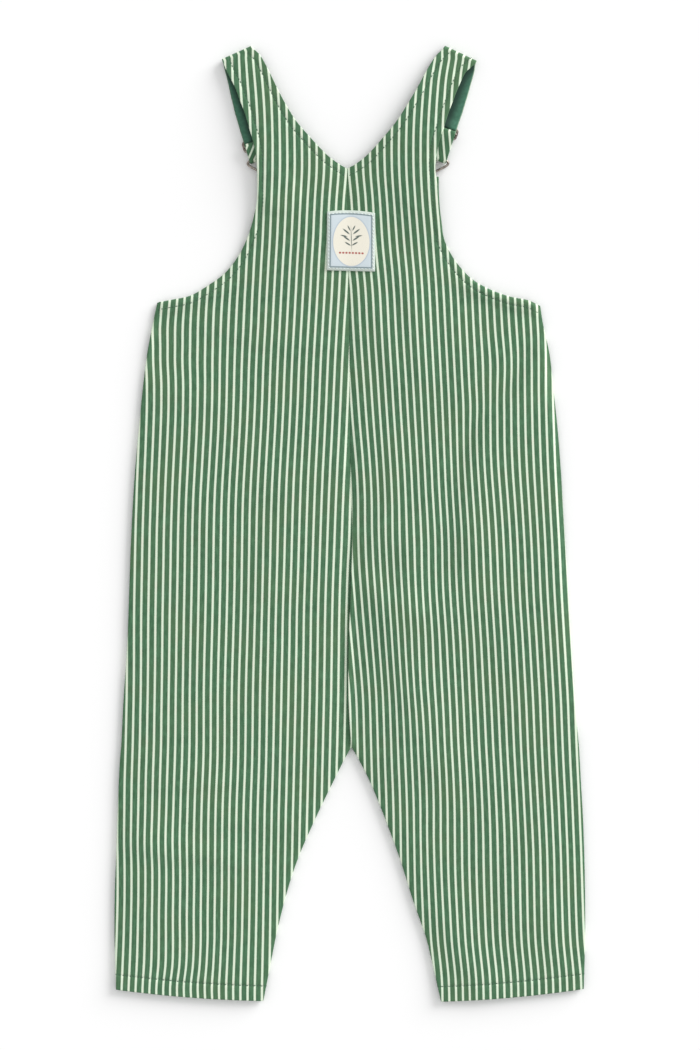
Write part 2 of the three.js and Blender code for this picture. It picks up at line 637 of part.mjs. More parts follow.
// A button, its face down on the surface and its shank up to the bib.
function button() {
  const profile = [
    [0, 0],
    [6.6, 0],
    [HEAD_RADIUS, 0.6],
    [HEAD_RADIUS, HEAD_TOP - 0.4],
    [HEAD_RADIUS - 0.6, HEAD_TOP],
    [SHANK_RADIUS, HEAD_TOP],
    [SHANK_RADIUS, SHANK_TOP],
    [0, SHANK_TOP],
  ].map(([r, z]) => V2(r, z));
  return new THREE.LatheGeometry(profile, 24).rotateX(Math.PI / 2);
}

const FINISHES = {
  twill: { color: 0x6d9a78, roughness: 0.9, metalness: 0 },
  facing: { color: 0x3a6955, roughness: 0.8, metalness: 0 },
  label: { color: 0xe6ecec, roughness: 0.8, metalness: 0 },
  metal: { color: 0x8d8478, roughness: 0.35, metalness: 1 },
};

function mesh(name, geometry, finish) {
  const made = new THREE.Mesh(geometry, new THREE.MeshStandardMaterial(FINISHES[finish]));
  made.name = name;
  return made;
}

// Puts a piece from a hook's frame in its place: its x goes across the strap and its -y down the strap.
function onHook(name, piece, a) {
  const { place, across } = hookFrame(name);
  const p = place(0, a);
  piece.position.set(p.x, p.y, 0);
  piece.rotation.z = Math.atan2(across.y, across.x) + (HOOKS[name].x < 0 ? Math.PI : 0);
  return piece;
}

const overalls = new THREE.Group();
overalls.add(mesh("label", label(), "label"));
for (const [name, hook] of Object.entries(HOOKS)) {
  overalls.add(mesh("back_" + name, backHalf(name), "twill"));
  overalls.add(mesh("front_" + name, frontHalf(Math.sign(hook.x)), "twill"));
  overalls.add(mesh("facing_" + name, facing(name), "facing"));
  overalls.add(onHook(name, mesh("slide_" + name, slide(), "metal"), -hook.slide));
  overalls.add(onHook(name, mesh("buckle_" + name, buckle(), "metal"), 0));
  overalls.add(onHook(name, mesh("button_" + name, button(), "metal"), BUTTON_A));
}
export default overalls;
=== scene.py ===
import math

import bpy
import numpy as np
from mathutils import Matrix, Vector
from mathutils.kdtree import KDTree


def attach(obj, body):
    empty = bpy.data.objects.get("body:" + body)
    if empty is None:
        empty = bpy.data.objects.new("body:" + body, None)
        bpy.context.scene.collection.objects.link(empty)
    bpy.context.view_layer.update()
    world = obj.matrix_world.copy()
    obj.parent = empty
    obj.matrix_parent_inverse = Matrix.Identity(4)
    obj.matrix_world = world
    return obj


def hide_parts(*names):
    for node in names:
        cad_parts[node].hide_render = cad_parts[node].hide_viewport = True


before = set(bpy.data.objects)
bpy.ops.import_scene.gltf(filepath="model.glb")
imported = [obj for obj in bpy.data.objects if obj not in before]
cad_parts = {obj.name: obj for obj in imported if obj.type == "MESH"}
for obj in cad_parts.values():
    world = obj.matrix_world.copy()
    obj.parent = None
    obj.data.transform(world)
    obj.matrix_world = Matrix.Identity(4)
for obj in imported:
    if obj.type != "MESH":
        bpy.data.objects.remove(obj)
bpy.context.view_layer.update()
MM = 0.001

# Camera, floor and light
# The overalls lie on their front on a plain white floor and are looked at from straight above, straps
# up. One soft light comes in low from the upper right, and the white room fills in the rest.
PHOTO_PIXEL = 0.75 * MM  # what a pixel of the photo spans on the garment
PHOTO_HEIGHT = 1050
PHOTO_MIDDLE = (0.1 * MM, -1.1 * MM)
LENS = 120.0
SENSOR = 36.0


def add_object(name, data):
    thing = bpy.data.objects.new(name, data)
    bpy.context.scene.collection.objects.link(thing)
    return thing


camera_data = bpy.data.cameras.new("camera")
camera_data.lens = LENS
camera_data.sensor_width = SENSOR
camera = add_object("camera", camera_data)
camera.location = (*PHOTO_MIDDLE, PHOTO_PIXEL * PHOTO_HEIGHT * LENS / SENSOR)
bpy.context.scene.camera = camera

FLOOR_SIZE = 8.0
FLOOR_WHITE = (0.915, 0.915, 0.915, 1)
FLOOR_DROP = 0.3 * MM  # the topstitching of the front stands out this far below the cloth
bpy.ops.mesh.primitive_plane_add(size=FLOOR_SIZE, location=(0, 0, -FLOOR_DROP))
floor = bpy.context.object
floor.name = "floor"
floor_material = bpy.data.materials.new("white_floor")
floor_material.use_nodes = True
floor_shader = floor_material.node_tree.nodes["Principled BSDF"]
floor_shader.inputs["Base Color"].default_value = FLOOR_WHITE
floor_shader.inputs["Roughness"].default_value = 1.0
floor_shader.inputs["Specular IOR Level"].default_value = 0.0
floor.data.materials.append(floor_material)

KEY_FROM = Vector((0.77, 0.63, 0.235))
KEY_SOFTNESS = math.radians(44)
KEY_STRENGTH = 4.3
key_data = bpy.data.lights.new("key", "SUN")
key_data.angle = KEY_SOFTNESS
key_data.energy = KEY_STRENGTH
key = add_object("key", key_data)
key.rotation_euler = (-KEY_FROM).to_track_quat("-Z", "Y").to_euler()

ROOM_LIGHT = 0.78
room = bpy.data.worlds.new("room")
room.use_nodes = True
room.node_tree.nodes["Background"].inputs["Color"].default_value = (1, 1, 1, 1)
room.node_tree.nodes["Background"].inputs["Strength"].default_value = ROOM_LIGHT
bpy.context.scene.world = room
bpy.context.scene.view_settings.view_transform = "Standard"

# Back halves
# Each back half is cast in one piece of green and ecru striped cotton twill from the leg hem to the end of
# its strap. The strap folds over at the shoulder, runs down through the slide, round the buckle's bar and
# back to the slide. The hem is turned up, and the neck and armhole edges are turned in and topstitched.
CLOTH = 1.0
GAP = 0.3
LAYER = CLOTH + GAP
HEM_DEPTH = 12
HEM_TURN = 0.8
FRONT_Z = CLOTH / 2
BACK_Z = FRONT_Z + LAYER
HEM_Z = BACK_Z + 2 * HEM_TURN

# Sections across a half. Columns: outer end and inner end of the left half, then of the right half, each as
# its distance from the centre line and its height, then the height of the cloth's middle at the outer and
# at the inner end, its crown between them and how far the section bows to the hem. All in millimetres.
LEG = (
    (175, -349, 65, -357.5, 175, -348.5, 68.5, -358, HEM_Z, HEM_Z, 0.3, 1.6),
    (176, -316, 57, -316, 176, -316, 59, -316, 2.6, 2.6, 0.7, 1.2),
    (176, -282, 49, -282, 176, -282, 47.5, -282, 2.6, 2.6, 1.0, 0.6),
    (175, -252, 39.5, -252, 175.5, -252, 38, -252, 2.6, 2.6, 1.1, 0.2),
    (174, -222, 26.5, -222, 174.5, -222, 27, -222, 2.6, 2.6, 1.1, 0),
    (173, -196, 14, -196, 173, -196, 16.5, -196, 2.6, 2.6, 1.1, 0),
    (172, -177, 4, -176, 172, -177, 6.5, -176, 2.6, 2.6, 1.2, 0),
    (171, -166, -0.9, -167.5, 171.3, -166, 1.3, -167.5, 2.6, 2.4, 1.2, 0),
)
# The same from the crotch to the armhole's corner, with the height of the inner end on the centre seam.
# Columns: outer end left, outer end right, height on the seam, cloth's height outside and inside, crown.
BODY = (
    (171, -166, 171.3, -166, -167.5, 2.6, 2.4, 1.2),
    (169.3, -132, 168.3, -132, -132, 2.6, 2.4, 1.3),
    (166.8, -95, 166, -95, -95, 2.6, 2.5, 1.3),
    (165.3, -57, 164, -57, -57, 2.6, 2.6, 1.3),
    (163.7, -12, 161, -12, -12, 2.6, 2.8, 1.2),
    (161.2, 33, 158.3, 33, 33, 2.6, 3.0, 1.1),
    (158, 70, 155.5, 70, 70, 2.6, 3.0, 1.1),
    (155, 100, 152.3, 100, 100, 2.6, 3.0, 1.0),
    (151.8, 126, 149.5, 126, 126, 2.6, 3.0, 1.0),
    (147.6, 149, 144.6, 149, 149, 2.6, 3.0, 0.9),
    (144, 165.5, 142.4, 163, 166, 2.5, 3.0, 0.7),
)
# From the armhole's corner to the point of the V neck, with the same columns as BODY.
UPPER = (
    (144, 165.5, 142.4, 163, 166, 2.5, 3.0, 0.7),
    (134, 167.3, 133.6, 167, 174, 2.4, 3.0, 0.8),
    (119.7, 170.5, 120.7, 169.5, 186, 2.3, 3.1, 0.8),
    (105, 179, 105.3, 175, 199, 2.4, 3.2, 0.8),
    (92.5, 188.5, 91.5, 183, 211, 2.6, 3.3, 0.7),
    (83, 201, 80.5, 194.5, 223, 2.9, 3.4, 0.6),
    (76.8, 213.5, 73.3, 206, 234, 3.6, 3.5, 0.6),
    (72.3, 227.5, 69.5, 216.5, 246, 4.5, 3.7, 0.6),
    (69.5, 241, 67.8, 229, 256, 5.5, 3.9, 0.5),
    (69, 254, 66.3, 246.5, 265.7, 6.5, 4.2, 0.4),
)
# From the point of the V neck up the strap to the shoulder fold, with the same columns as LEG.
STRAP = (
    (69, 254, 2.3, 265.7, 66.3, 246.5, -2, 265.7, 6.5, 4.2, 0.4, 0),
    (69.1, 263.5, 8.5, 269.3, 63.7, 263.5, 4.3, 269, 7.2, 4.7, 0.3, 0),
    (69.8, 273.5, 18.3, 276.8, 64.3, 274, 14.2, 276.8, 7.6, 5.6, 0.2, 0),
    (71.9, 284.5, 31.3, 290.5, 66.6, 285.5, 27, 291, 7.7, 6.8, 0.1, 0),
    (74.9, 295, 40.7, 301.5, 69.9, 296, 35.9, 302, 7.7, 7.4, 0, 0),
    (78.3, 306.5, 48.6, 314.3, 73.5, 307, 43.6, 314.2, 7.3, 7.3, 0, 0),
    (82.4, 317.5, 55.4, 327.4, 77.4, 317.5, 51.4, 327.3, 6.6, 6.6, 0, 0),
    (86.5, 328, 61.6, 340.3, 82, 329, 57.9, 339.5, 5.7, 5.7, 0, 0),
    (91.8, 338, 68.1, 351.8, 87.1, 339, 65.1, 351, 5.0, 5.0, 0, 0),
    (95.9, 348, 73.9, 358, 95, 346.8, 71.4, 358, 4.7, 4.7, 0, 0),
)
# The front half of the strap between the shoulder fold and its straight run to the slide: its outer edge
# from the centre line and up, and its lean from upright in degrees, left and then right.
FRONT_STRAP = (
    (93.3, 339, 23, 93.2, 339, 23.5),
    (91.4, 332, 21, 91.3, 332, 22),
    (88.8, 320, 18.5, 87.9, 320, 20),
    (85.9, 308, 17.2, 84.2, 308, 18.6),
)
# The centre-back seam wanders a little: height and place across.
CENTRE_SEAM = (
    (-167.5, 1.1),
    (-160, 0.1),
    (-152, -0.5),
    (-141, -0.9),
    (-100, -1.1),
    (-87, -0.9),
    (-76, -0.6),
    (-66, -0.1),
    (-55, 0.5),
    (-43, 1.1),
    (-30, 1.4),
    (-11, 1.8),
    (0, 1.6),
    (12, 1.2),
    (38, 0.5),
    (93, 0.1),
    (130, -0.3),
    (168, -0.6),
    (205, -1.2),
    (265.7, -2.1),
)
# Creases of the back, each followed from one end to the other. Columns: height, negative for a trough,
# width to the left and to the right of someone who follows it, and then its points.
CREASES = (
    (1.6, 60, 80, ((104, 120), (98, 60), (94, 20), (88, -20), (84, -50))),
    (1.1, 40, 90, ((158, -70), (155, -20), (152, 40), (148, 100), (144, 140))),
    (-1.5, 6, 8, ((131, 124), (118, 98), (103, 85), (91, 70), (85, 51))),
    (1.5, 24, 10, (
        (138, 118), (121, 91), (108, 80), (98, 66), (92, 49),
        (90, 32), (89, 2), (90, -25), (84, -47), (66, -63),
    )),
    (0.9, 16, 7, ((32, 44), (30, 17), (21, -10), (13, -29))),
    (1.0, 14, 8, ((43, -22), (41, -50), (46, -68))),
    (0.7, 10, 12, ((72, -2), (56, -8), (40, -16))),
    (1.5, 30, 12, ((26, -63), (33, -82), (37, -97), (42, -120), (48, -134), (56, -157), (63, -179))),
    (1.0, 12, 9, ((40, -162), (35, -182))),
    (-1.0, 9, 16, ((74, -40), (56, -50), (38, -50), (26, -40))),
    (0.8, 12, 6, ((46, 168), (48, 137), (51, 118))),
    (0.7, 12, 6, ((20, 156), (26, 130), (31, 114))),
    (0.6, 12, 6, ((57, 44), (55, 16))),
    (0.5, 12, 8, ((78, 150), (84, 120), (80, 96))),
    (-1.8, 7, 40, ((-145, 148), (-128, 153), (-106, 162))),
    (0.9, 8, 5, ((-142, 161), (-124, 165), (-104, 173))),
    (-1.5, 7, 44, ((102, 162), (120, 156), (141, 152))),
    (0.8, 8, 5, ((100, 174), (120, 166), (140, 160))),
    (1.2, 7, 20, ((-12, 42), (-30, 32), (-52, 24))),
    (0.9, 20, 8, ((-52, 12), (-58, -2), (-61, -20), (-66, -42))),
    (0.6, 16, 7, ((-101, 146), (-75, 139), (-56, 135), (-30, 134))),
    (0.5, 14, 7, ((-139, 97), (-109, 90))),
    (0.6, 14, 10, ((-110, 10), (-103, -15))),
    (0.6, 14, 6, ((-140, -195), (-100, -195))),
    (0.6, 16, 7, ((-100, -224), (-70, -225), (-44, -226))),
    (1.0, 14, 6, ((-148, -244), (-134, -249), (-120, -248), (-100, -252))),
    (0.5, 20, 14, ((-152, -235), (-150, -300))),
    (0.9, 22, 8, ((139, -231), (133, -241), (122, -254), (118, -272), (120, -290))),
    (0.6, 8, 7, ((150, -292), (154, -318))),
    (0.5, 16, 9, ((108, -200), (104, -226))),
    (0.9, 18, 10, ((76, -305), (86, -325), (96, -345))),
    (0.4, 12, 8, ((-56, 262), (-55, 235))),
    (0.6, 10, 7, ((-31, 222), (-31, 204))),
    (0.5, 10, 6, ((-17, 250), (-18, 232))),
    (0.2, 6, 8, ((66, 262), (65, 232))),
    (0.6, 14, 8, ((47, 243), (49, 213))),
    (0.7, 14, 8, ((38, 188), (43, 166))),
    (0.4, 20, 12, ((-84, 70), (-88, 20))),
    (0.45, 18, 12, ((-112, -60), (-108, -120))),
    (0.4, 16, 12, ((-60, -100), (-64, -150))),
    (0.4, 16, 12, ((120, -90), (124, -150))),
    (-0.5, 4, 5, ((3, 12), (6, -2), (2, -16))),
    (0.45, 3, 4, ((8, 24), (4, 8), (7, -8))),
)
# Lesser creases of the front, which lies flat on the surface and only lifts a little, with the same columns.
FRONT_CREASES = (
    (0.35, 10, 16, ((-120, 120), (-96, 60), (-90, 10))),
    (0.3, 14, 8, ((96, 130), (110, 70), (104, 20))),
    (0.35, 9, 14, ((-30, -60), (-52, -110), (-60, -160))),
    (0.3, 8, 14, ((28, -70), (44, -120), (66, -170))),
    (0.25, 12, 8, ((-130, -220), (-90, -236))),
    (0.3, 8, 12, ((84, -230), (130, -244))),
    (0.25, 8, 10, ((-30, 190), (-8, 150))),
    (0.25, 10, 8, ((36, 200), (20, 160))),
)
CREASE_FADE = 10  # creases die out past their ends over this distance and half their width
STRAP_WIDTH = 25
FOLD_RADIUS = 2.1
WIRE_RADIUS = 0.9
BAR_Z = CLOTH + GAP + WIRE_RADIUS
BUTTON_A = 27  # from the buckle's bar down to the button's middle
BUCKLE_RISE = 0.75  # how much higher the buckle is at the button than at its bar
SHANK_TOP = BAR_Z + BUCKLE_RISE + WIRE_RADIUS
SLIDE_THICKNESS = 1.2
SLIDE_BAR_RADIUS = 0.6
OVER_RAIL_Z = SLIDE_THICKNESS + GAP + CLOTH / 2
SLIDE_BAR_Z = OVER_RAIL_Z + LAYER + CLOTH / 2 + GAP + SLIDE_BAR_RADIUS
TAIL_TURN = SLIDE_BAR_RADIUS + GAP + CLOTH / 2
TAIL_UNDER = 4  # how far the strap's end runs on below the slide's bar
DIP = 5  # the strap rises over the slide's rails within this distance
BIB_LIFT = SHANK_TOP + GAP  # the bib stands this much higher over a button, flat out to LIFT_FLAT
LIFT_FLAT = 11
LIFT_REACH = 36
LIFT_SPARE = 0.5  # the back keeps this much more off the bib there
# Where each strap meets its buckle: the bar's middle, the strap's lean and how far up it the slide's bar is.
HOOKS = {
    "left": {"x": -63.0, "y": 275.2, "lean": 17, "slide": 11},
    "right": {"x": 60.3, "y": 275.6, "lean": 18, "slide": 21},
}
SIDES = {"left": -1, "right": 1}


def spline(rows, t):
    """Values between the rows of a table, t from 0 at its first row to 1 at its last."""
    rows = np.asarray(rows, float)
    at = np.clip(np.atleast_1d(t), 0, 1) * (len(rows) - 1)
    i = np.minimum(at.astype(int), len(rows) - 2)
    f = (at - i)[:, None]
    a, b = rows[np.maximum(i - 1, 0)], rows[i]
    c, d = rows[i + 1], rows[np.minimum(i + 2, len(rows) - 1)]
    start, end = (c - a) / 2, (d - b) / 2
    return (2 * b - 2 * c + start + end) * f**3 + (3 * c - 3 * b - 2 * start - end) * f**2 + start * f + b


def ease(x, low, high):
    x = np.clip((x - low) / (high - low), 0, 1)
    return x * x * (3 - 2 * x)


def seam_x(y):
    heights, places = np.array(CENTRE_SEAM).T
    return np.interp(y, heights, places)


def sections(table, side, t):
    """Rows of: outer x y, inner x y, outer z, inner z, crown, bow, at places t along a table's stretch."""
    rows = []
    for row in table:
        if len(row) == 12:
            x1, y1, x2, y2 = row[:4] if side < 0 else row[4:8]
            rows.append((side * x1, y1, side * x2, y2, *row[8:]))
        else:
            x1, y1 = row[:2] if side < 0 else row[2:4]
            rows.append((side * x1, y1, seam_x(row[4]) + side * GAP / 2, row[4], *row[5:], 0))
    return spline(rows, t)


def hook_frame(name):
    """The middle of a buckle's bar, the direction down the strap and the one away from the centre line."""
    hook, side = HOOKS[name], SIDES[name]
    lean = math.radians(hook["lean"])
    along = np.array((-side * math.sin(lean), -math.cos(lean)))
    across = np.array((side * math.cos(lean), -math.sin(lean)))
    return np.array((hook["x"], hook["y"])), along, across


def front_height(x, y):
    """The middle of the front's wall: flat on the floor and lifted over the two buttons."""
    lift = np.zeros(np.shape(x))
    for name in HOOKS:
        middle, along, across = hook_frame(name)
        button = middle + BUTTON_A * along
        lift = np.maximum(lift, 1 - ease(np.hypot(x - button[0], y - button[1]), LIFT_FLAT, LIFT_REACH))
    return FRONT_Z + BIB_LIFT * lift


def front_surface(x, y):
    """The front's wall with its lesser creases, which leave its edges flat."""
    return front_height(x, y) + crease_height(x, y, FRONT_CREASES)


def crease_height(x, y, creases):
    """The height that a set of creases adds at some places."""
    places = np.stack([x, y], axis=-1)
    height = np.zeros(np.shape(x))
    for rise, left_width, right_width, points in creases:
        points = np.array(points, float)
        fade_over = CREASE_FADE + max(left_width, right_width) / 2
        nearest = np.full(np.shape(x), 1e9)
        part = np.zeros(np.shape(x))
        for k, (a, b) in enumerate(zip(points, points[1:])):
            course = b - a
            long = math.hypot(*course)
            course /= long
            ahead = (places - a) @ course
            aside = (places - a) @ np.array((-course[1], course[0]))
            past = np.maximum(np.maximum(ahead - long, -ahead), 0)
            beyond_end = ((k == 0) & (ahead < 0)) | ((k == len(points) - 2) & (ahead > long))
            fade = np.where(beyond_end, np.exp(-((past / fade_over) ** 2)), 1)
            distance = np.hypot(aside, past)
            apart = np.where(beyond_end, np.abs(aside), distance)
            width = np.where(aside > 0, left_width, right_width)
            here = rise * fade * np.exp(-((apart / width) ** 2))
            part = np.where(distance < nearest, here, part)
            nearest = np.minimum(distance, nearest)
        height += part
    return height


EDGE_COLUMNS = np.array((0, 0.35, 0.9, 1.8, 2.9, 3.9, 4.5, 5.0, 5.5, 6.3, 8.0))
MIDDLE_COLUMNS = 56
FOLD_EDGE = 0.04
SOFT_STOP = 0.12  # the back settles on the front over this height, without a kink


def width_of(rows):
    return np.hypot(rows[:, 2] - rows[:, 0], rows[:, 3] - rows[:, 1])[:, None]


def place_across(rows):
    """For each section, the places of the columns: close together near both edges."""
    near = EDGE_COLUMNS[None] / width_of(rows)
    middle = np.linspace(0, 1, MIDDLE_COLUMNS + 2)[None, 1:-1]
    middle = near[:, -1:] + (1 - 2 * near[:, -1:]) * middle
    return np.concatenate([near, middle, 1 - near[:, ::-1]], axis=1)


def plan(rows, u):
    x = rows[:, 0:1] + (rows[:, 2:3] - rows[:, 0:1]) * u
    y = rows[:, 1:2] + (rows[:, 3:4] - rows[:, 1:2]) * u - rows[:, 7:8] * 4 * u * (1 - u)
    return x, y


def back_height(rows, u, x, y):
    """The middle of the back's wall: crowned between its edges, creased, and clear of the front."""
    own = rows[:, 4:5] + (rows[:, 5:6] - rows[:, 4:5]) * u + rows[:, 6:7] * (1 - (2 * u - 1) ** 4)
    edge = ease(np.minimum(u, 1 - u), 0, FOLD_EDGE)
    lifted = front_height(x, y) - FRONT_Z
    least = front_surface(x, y) + LAYER + LIFT_SPARE * lifted / BIB_LIFT
    wanted = own + edge * crease_height(x, y, CREASES)
    spare = wanted - least
    return least + np.maximum(spare, 0) + SOFT_STOP * np.log1p(np.exp(-np.abs(spare) / SOFT_STOP))


def turned(section, away, centre_z, radius, start, steps):
    """Rows round a fold: ends moved in plan, and the height of the cloth's middle."""
    made = []
    for k in range(1, steps):
        angle = math.pi * k / steps
        moved = section.copy()
        moved[0:2] += away * radius * math.sin(angle)
        moved[2:4] += away * radius * math.sin(angle)
        made.append((moved, centre_z + start * radius * math.cos(angle)))
    return made


def strap_section(outer, lean, side):
    lean = math.radians(lean)
    inner = np.asarray(outer) + STRAP_WIDTH * np.array((-side * math.cos(lean), math.sin(lean)))
    return np.array((*outer, *inner, 0, 0, 0, 0))


def hooked_section(name, down):
    """The strap's section at a distance down from its buckle's bar."""
    middle, along, across = hook_frame(name)
    return strap_section(middle + along * down + across * STRAP_WIDTH / 2, HOOKS[name]["lean"], SIDES[name])


def shoulder_fold(side):
    """The section at which the strap starts to turn over, and the direction beyond it."""
    top = sections(STRAP, side, 1.0)[0]
    line = top[2:4] - top[0:2]
    line /= np.hypot(*line)
    away = -side * np.array((-line[1], line[0]))
    start = top.copy()
    start[0:2] -= away * (FOLD_RADIUS + CLOTH / 2)
    start[2:4] -= away * (FOLD_RADIUS + CLOTH / 2)
    return start, away


def strap_to_fold(side, t):
    rows = sections(STRAP, side, t)
    away = shoulder_fold(side)[1]
    pull = ease(np.atleast_1d(t), 0.8, 1)[:, None] * (FOLD_RADIUS + CLOTH / 2)
    rows[:, 0:2] -= pull * away
    rows[:, 2:4] -= pull * away
    return rows


def front_strap_run(name, count):
    """The front half of a strap, from the shoulder fold to the buckle's bar: sections and heights."""
    slide, side = HOOKS[name]["slide"], SIDES[name]
    low = CLOTH / 2
    stops = [(shoulder_fold(side)[0], low)]
    for row in FRONT_STRAP:
        x, y, lean = row[:3] if side < 0 else row[3:]
        stops.append((strap_section((side * x, y), lean, side), low))
    for down, z in (
        (-slide - 2 * DIP, low),
        (-slide - DIP, OVER_RAIL_Z),
        (-slide, OVER_RAIL_Z),
        (-slide + DIP, OVER_RAIL_Z),
        (-1, low),
        (0, low),
    ):
        stops.append((hooked_section(name, down), z))
    length = [0.0]
    for (one, _), (two, _) in zip(stops, stops[1:]):
        length.append(length[-1] + np.hypot(*((two[:2] + two[2:4] - one[:2] - one[2:4]) / 2)))
    wanted = np.linspace(0, length[-1], count)
    table = np.array([s for s, _ in stops])
    run = np.stack([np.interp(wanted, length, table[:, k]) for k in range(8)], axis=1)
    heights = np.interp(wanted, length, [z for _, z in stops])
    for _ in range(2):
        heights[1:-1] = (heights[:-2] + 2 * heights[1:-1] + heights[2:]) / 4
    return run, heights


# Where the ecru stripes run. Columns: height, place across of the thirteenth stripe from the outer edge,
# and the space between stripes outside it and inside it. Millimetres.
COUNTED_FROM = 13
STRIPES = {
    "left": (
        (348, -72.6, 5.2, 5.2),
        (333, -71.2, 5.5, 5.5),
        (318, -70.0, 5.55, 5.55),
        (295, -68.9, 5.45, 5.45),
        (265, -68.9, 5.45, 5.5),
        (243, -69.4, 5.5, 5.4),
        (215, -70.6, 5.5, 5.4),
        (192, -71.95, 5.55, 5.4),
        (175, -72.8, 5.57, 5.4),
        (145, -74.1, 5.67, 5.36),
        (130, -75.0, 5.5, 5.36),
        (93, -76.5, 5.4, 5.35),
        (18, -80.1, 5.32, 5.36),
        (-57, -81.2, 5.35, 5.25),
        (-132, -83.4, 5.24, 5.33),
        (-207, -84.9, 5.25, 5.31),
        (-282, -85.6, 5.2, 5.22),
        (-350, -87.3, 5.23, 5.36),
    ),
    "right": (
        (348, 74.4, 5.2, 5.3),
        (333, 72.0, 5.3, 5.35),
        (318, 70.7, 5.4, 5.4),
        (295, 69.4, 5.4, 5.41),
        (265, 69.3, 5.4, 5.39),
        (243, 70.2, 5.35, 5.31),
        (213, 72.9, 5.3, 5.4),
        (175, 75.5, 5.3, 5.32),
        (145, 76.85, 5.3, 5.3),
        (93, 79.5, 5.19, 5.24),
        (18, 82.4, 5.18, 5.09),
        (-12, 83.7, 5.2, 5.19),
        (-57, 85.6, 5.22, 5.12),
        (-87, 87.7, 5.2, 5.1),
        (-132, 90.0, 5.23, 5.01),
        (-170, 91.9, 5.2, 5.06),
        (-207, 93.8, 5.18, 5.11),
        (-282, 95.3, 5.26, 5.11),
        (-312, 96.8, 5.25, 5.12),
        (-342, 99.7, 5.24, 5.13),
        (-357, 100.2, 5.23, 5.14),
    ),
}
# Small sideways shifts of the stripes where the cloth is rucked: middle, size across and up, and shift.
STRIPE_SHIFTS = (
    (-139, 123, 34, 16, -1.3),
    (-103, 69, 45, 40, 0.55),
    (-112, 166, 14, 12, -0.45),
    (-51, -66, 30, 26, -0.3),
    (-101, -172, 41, 32, 0.95),
    (-144, -238, 26, 16, -0.6),
    (-120, -312, 34, 14, 0.6),
    (-133, -330, 22, 14, 0.9),
    (-120, -345, 26, 10, -0.8),
    (80, 196, 16, 18, -0.6),
    (136, 138, 16, 22, 0.55),
    (114, 120, 14, 18, 1.1),
    (92, 88, 10, 14, 0.5),
    (104, 52, 24, 36, -1.4),
    (134, 66, 22, 46, -0.55),
    (58, -10, 22, 26, 1.0),
    (10, -12, 14, 18, 0.6),
    (20, -62, 12, 50, 0.5),
    (44, -100, 14, 26, -0.5),
    (60, -232, 10, 26, -0.4),
    (54, -122, 16, 26, -1.1),
    (64, -165, 26, 30, -0.4),
    (72, -245, 18, 40, -0.7),
    (135, -256, 34, 44, 1.05),
)


def stripe_number(name, x, y):
    """Counts the stripes across a half: a whole number on the middle of each ecru stripe."""
    rows = np.array(STRIPES[name][::-1])
    heights = rows[:, 0]
    slopes = np.gradient(rows[:, 1:], heights, axis=0)
    at = np.clip(y, heights[0], heights[-1])
    i = np.clip(np.searchsorted(heights, at) - 1, 0, len(heights) - 2)
    span = heights[i + 1] - heights[i]
    f = ((at - heights[i]) / span)[..., None]
    span = span[..., None]
    a, b, start, end = rows[i, 1:], rows[i + 1, 1:], slopes[i] * span, slopes[i + 1] * span
    value = a * (2 * f**3 - 3 * f**2 + 1) + b * (3 * f**2 - 2 * f**3)
    value += start * (f**3 - 2 * f**2 + f) + end * (f**3 - f**2)
    moved = np.array(x, float)
    for mid_x, mid_y, size_x, size_y, shift in STRIPE_SHIFTS:
        moved -= shift * np.exp(-(((x - mid_x) / size_x) ** 2) - ((y - mid_y) / size_y) ** 2)
    away = moved - value[..., 0]
    outside = away * SIDES[name] > 0
    return COUNTED_FROM + away / np.where(outside, value[..., 1], value[..., 2])


def shell(name, middles, number, along, thickness=CLOTH, inside=None):
    """A closed wall of cloth about a grid of middles, with a rounded rim. Its UV map holds the stripe
    number and the distance along the cloth in millimetres."""
    down = np.gradient(middles, axis=0)
    across = np.gradient(middles, axis=1)
    normal = np.cross(across, down)
    normal /= np.linalg.norm(normal, axis=2, keepdims=True)
    if normal[0, normal.shape[1] // 2, 2] < 0:
        normal = -normal
    inside = np.zeros(middles.shape[:2]) if inside is None else inside
    outer = middles + normal * thickness / 2
    inner = middles - normal * (thickness / 2 + inside)[..., None]
    count_r, count_c = middles.shape[:2]
    index = np.arange(count_r * count_c).reshape(count_r, count_c)
    rim = np.concatenate([index[0, :-1], index[:-1, -1], index[-1, :0:-1], index[:0:-1, 0]])
    flat_middles = ((outer + inner) / 2).reshape(-1, 3)
    centre_r = np.clip(rim // count_c, 1, count_r - 2)
    centre_c = np.clip(rim % count_c, 1, count_c - 2)
    outward = flat_middles[rim] - flat_middles[centre_r * count_c + centre_c]
    outward /= np.maximum(np.linalg.norm(outward, axis=1, keepdims=True), 1e-6)
    rim_points = flat_middles[rim] + outward * thickness * 0.28
    points = np.concatenate([outer.reshape(-1, 3), inner.reshape(-1, 3), rim_points])
    total = count_r * count_c
    q = np.stack([index[:-1, :-1], index[:-1, 1:], index[1:, 1:], index[1:, :-1]], axis=-1).reshape(-1, 4)
    k = np.arange(len(rim))
    after = np.roll(k, -1)
    upper = np.stack([rim[k], 2 * total + k, 2 * total + after, rim[after]], axis=-1)
    lower = np.stack([2 * total + k, total + rim[k], total + rim[after], 2 * total + after], axis=-1)
    faces = np.concatenate([q, q[:, ::-1] + total, upper, lower])
    mesh = smooth_mesh(name, points, faces.tolist())
    places = np.stack([number.ravel(), along.ravel()], axis=1)
    places = np.concatenate([places, places, places[rim]])
    corner = np.zeros(len(mesh.loops), int)
    mesh.loops.foreach_get("vertex_index", corner)
    mesh.uv_layers.new(name="cloth").data.foreach_set("uv", places[corner].ravel())
    mesh.update()
    return add_object(name, mesh)


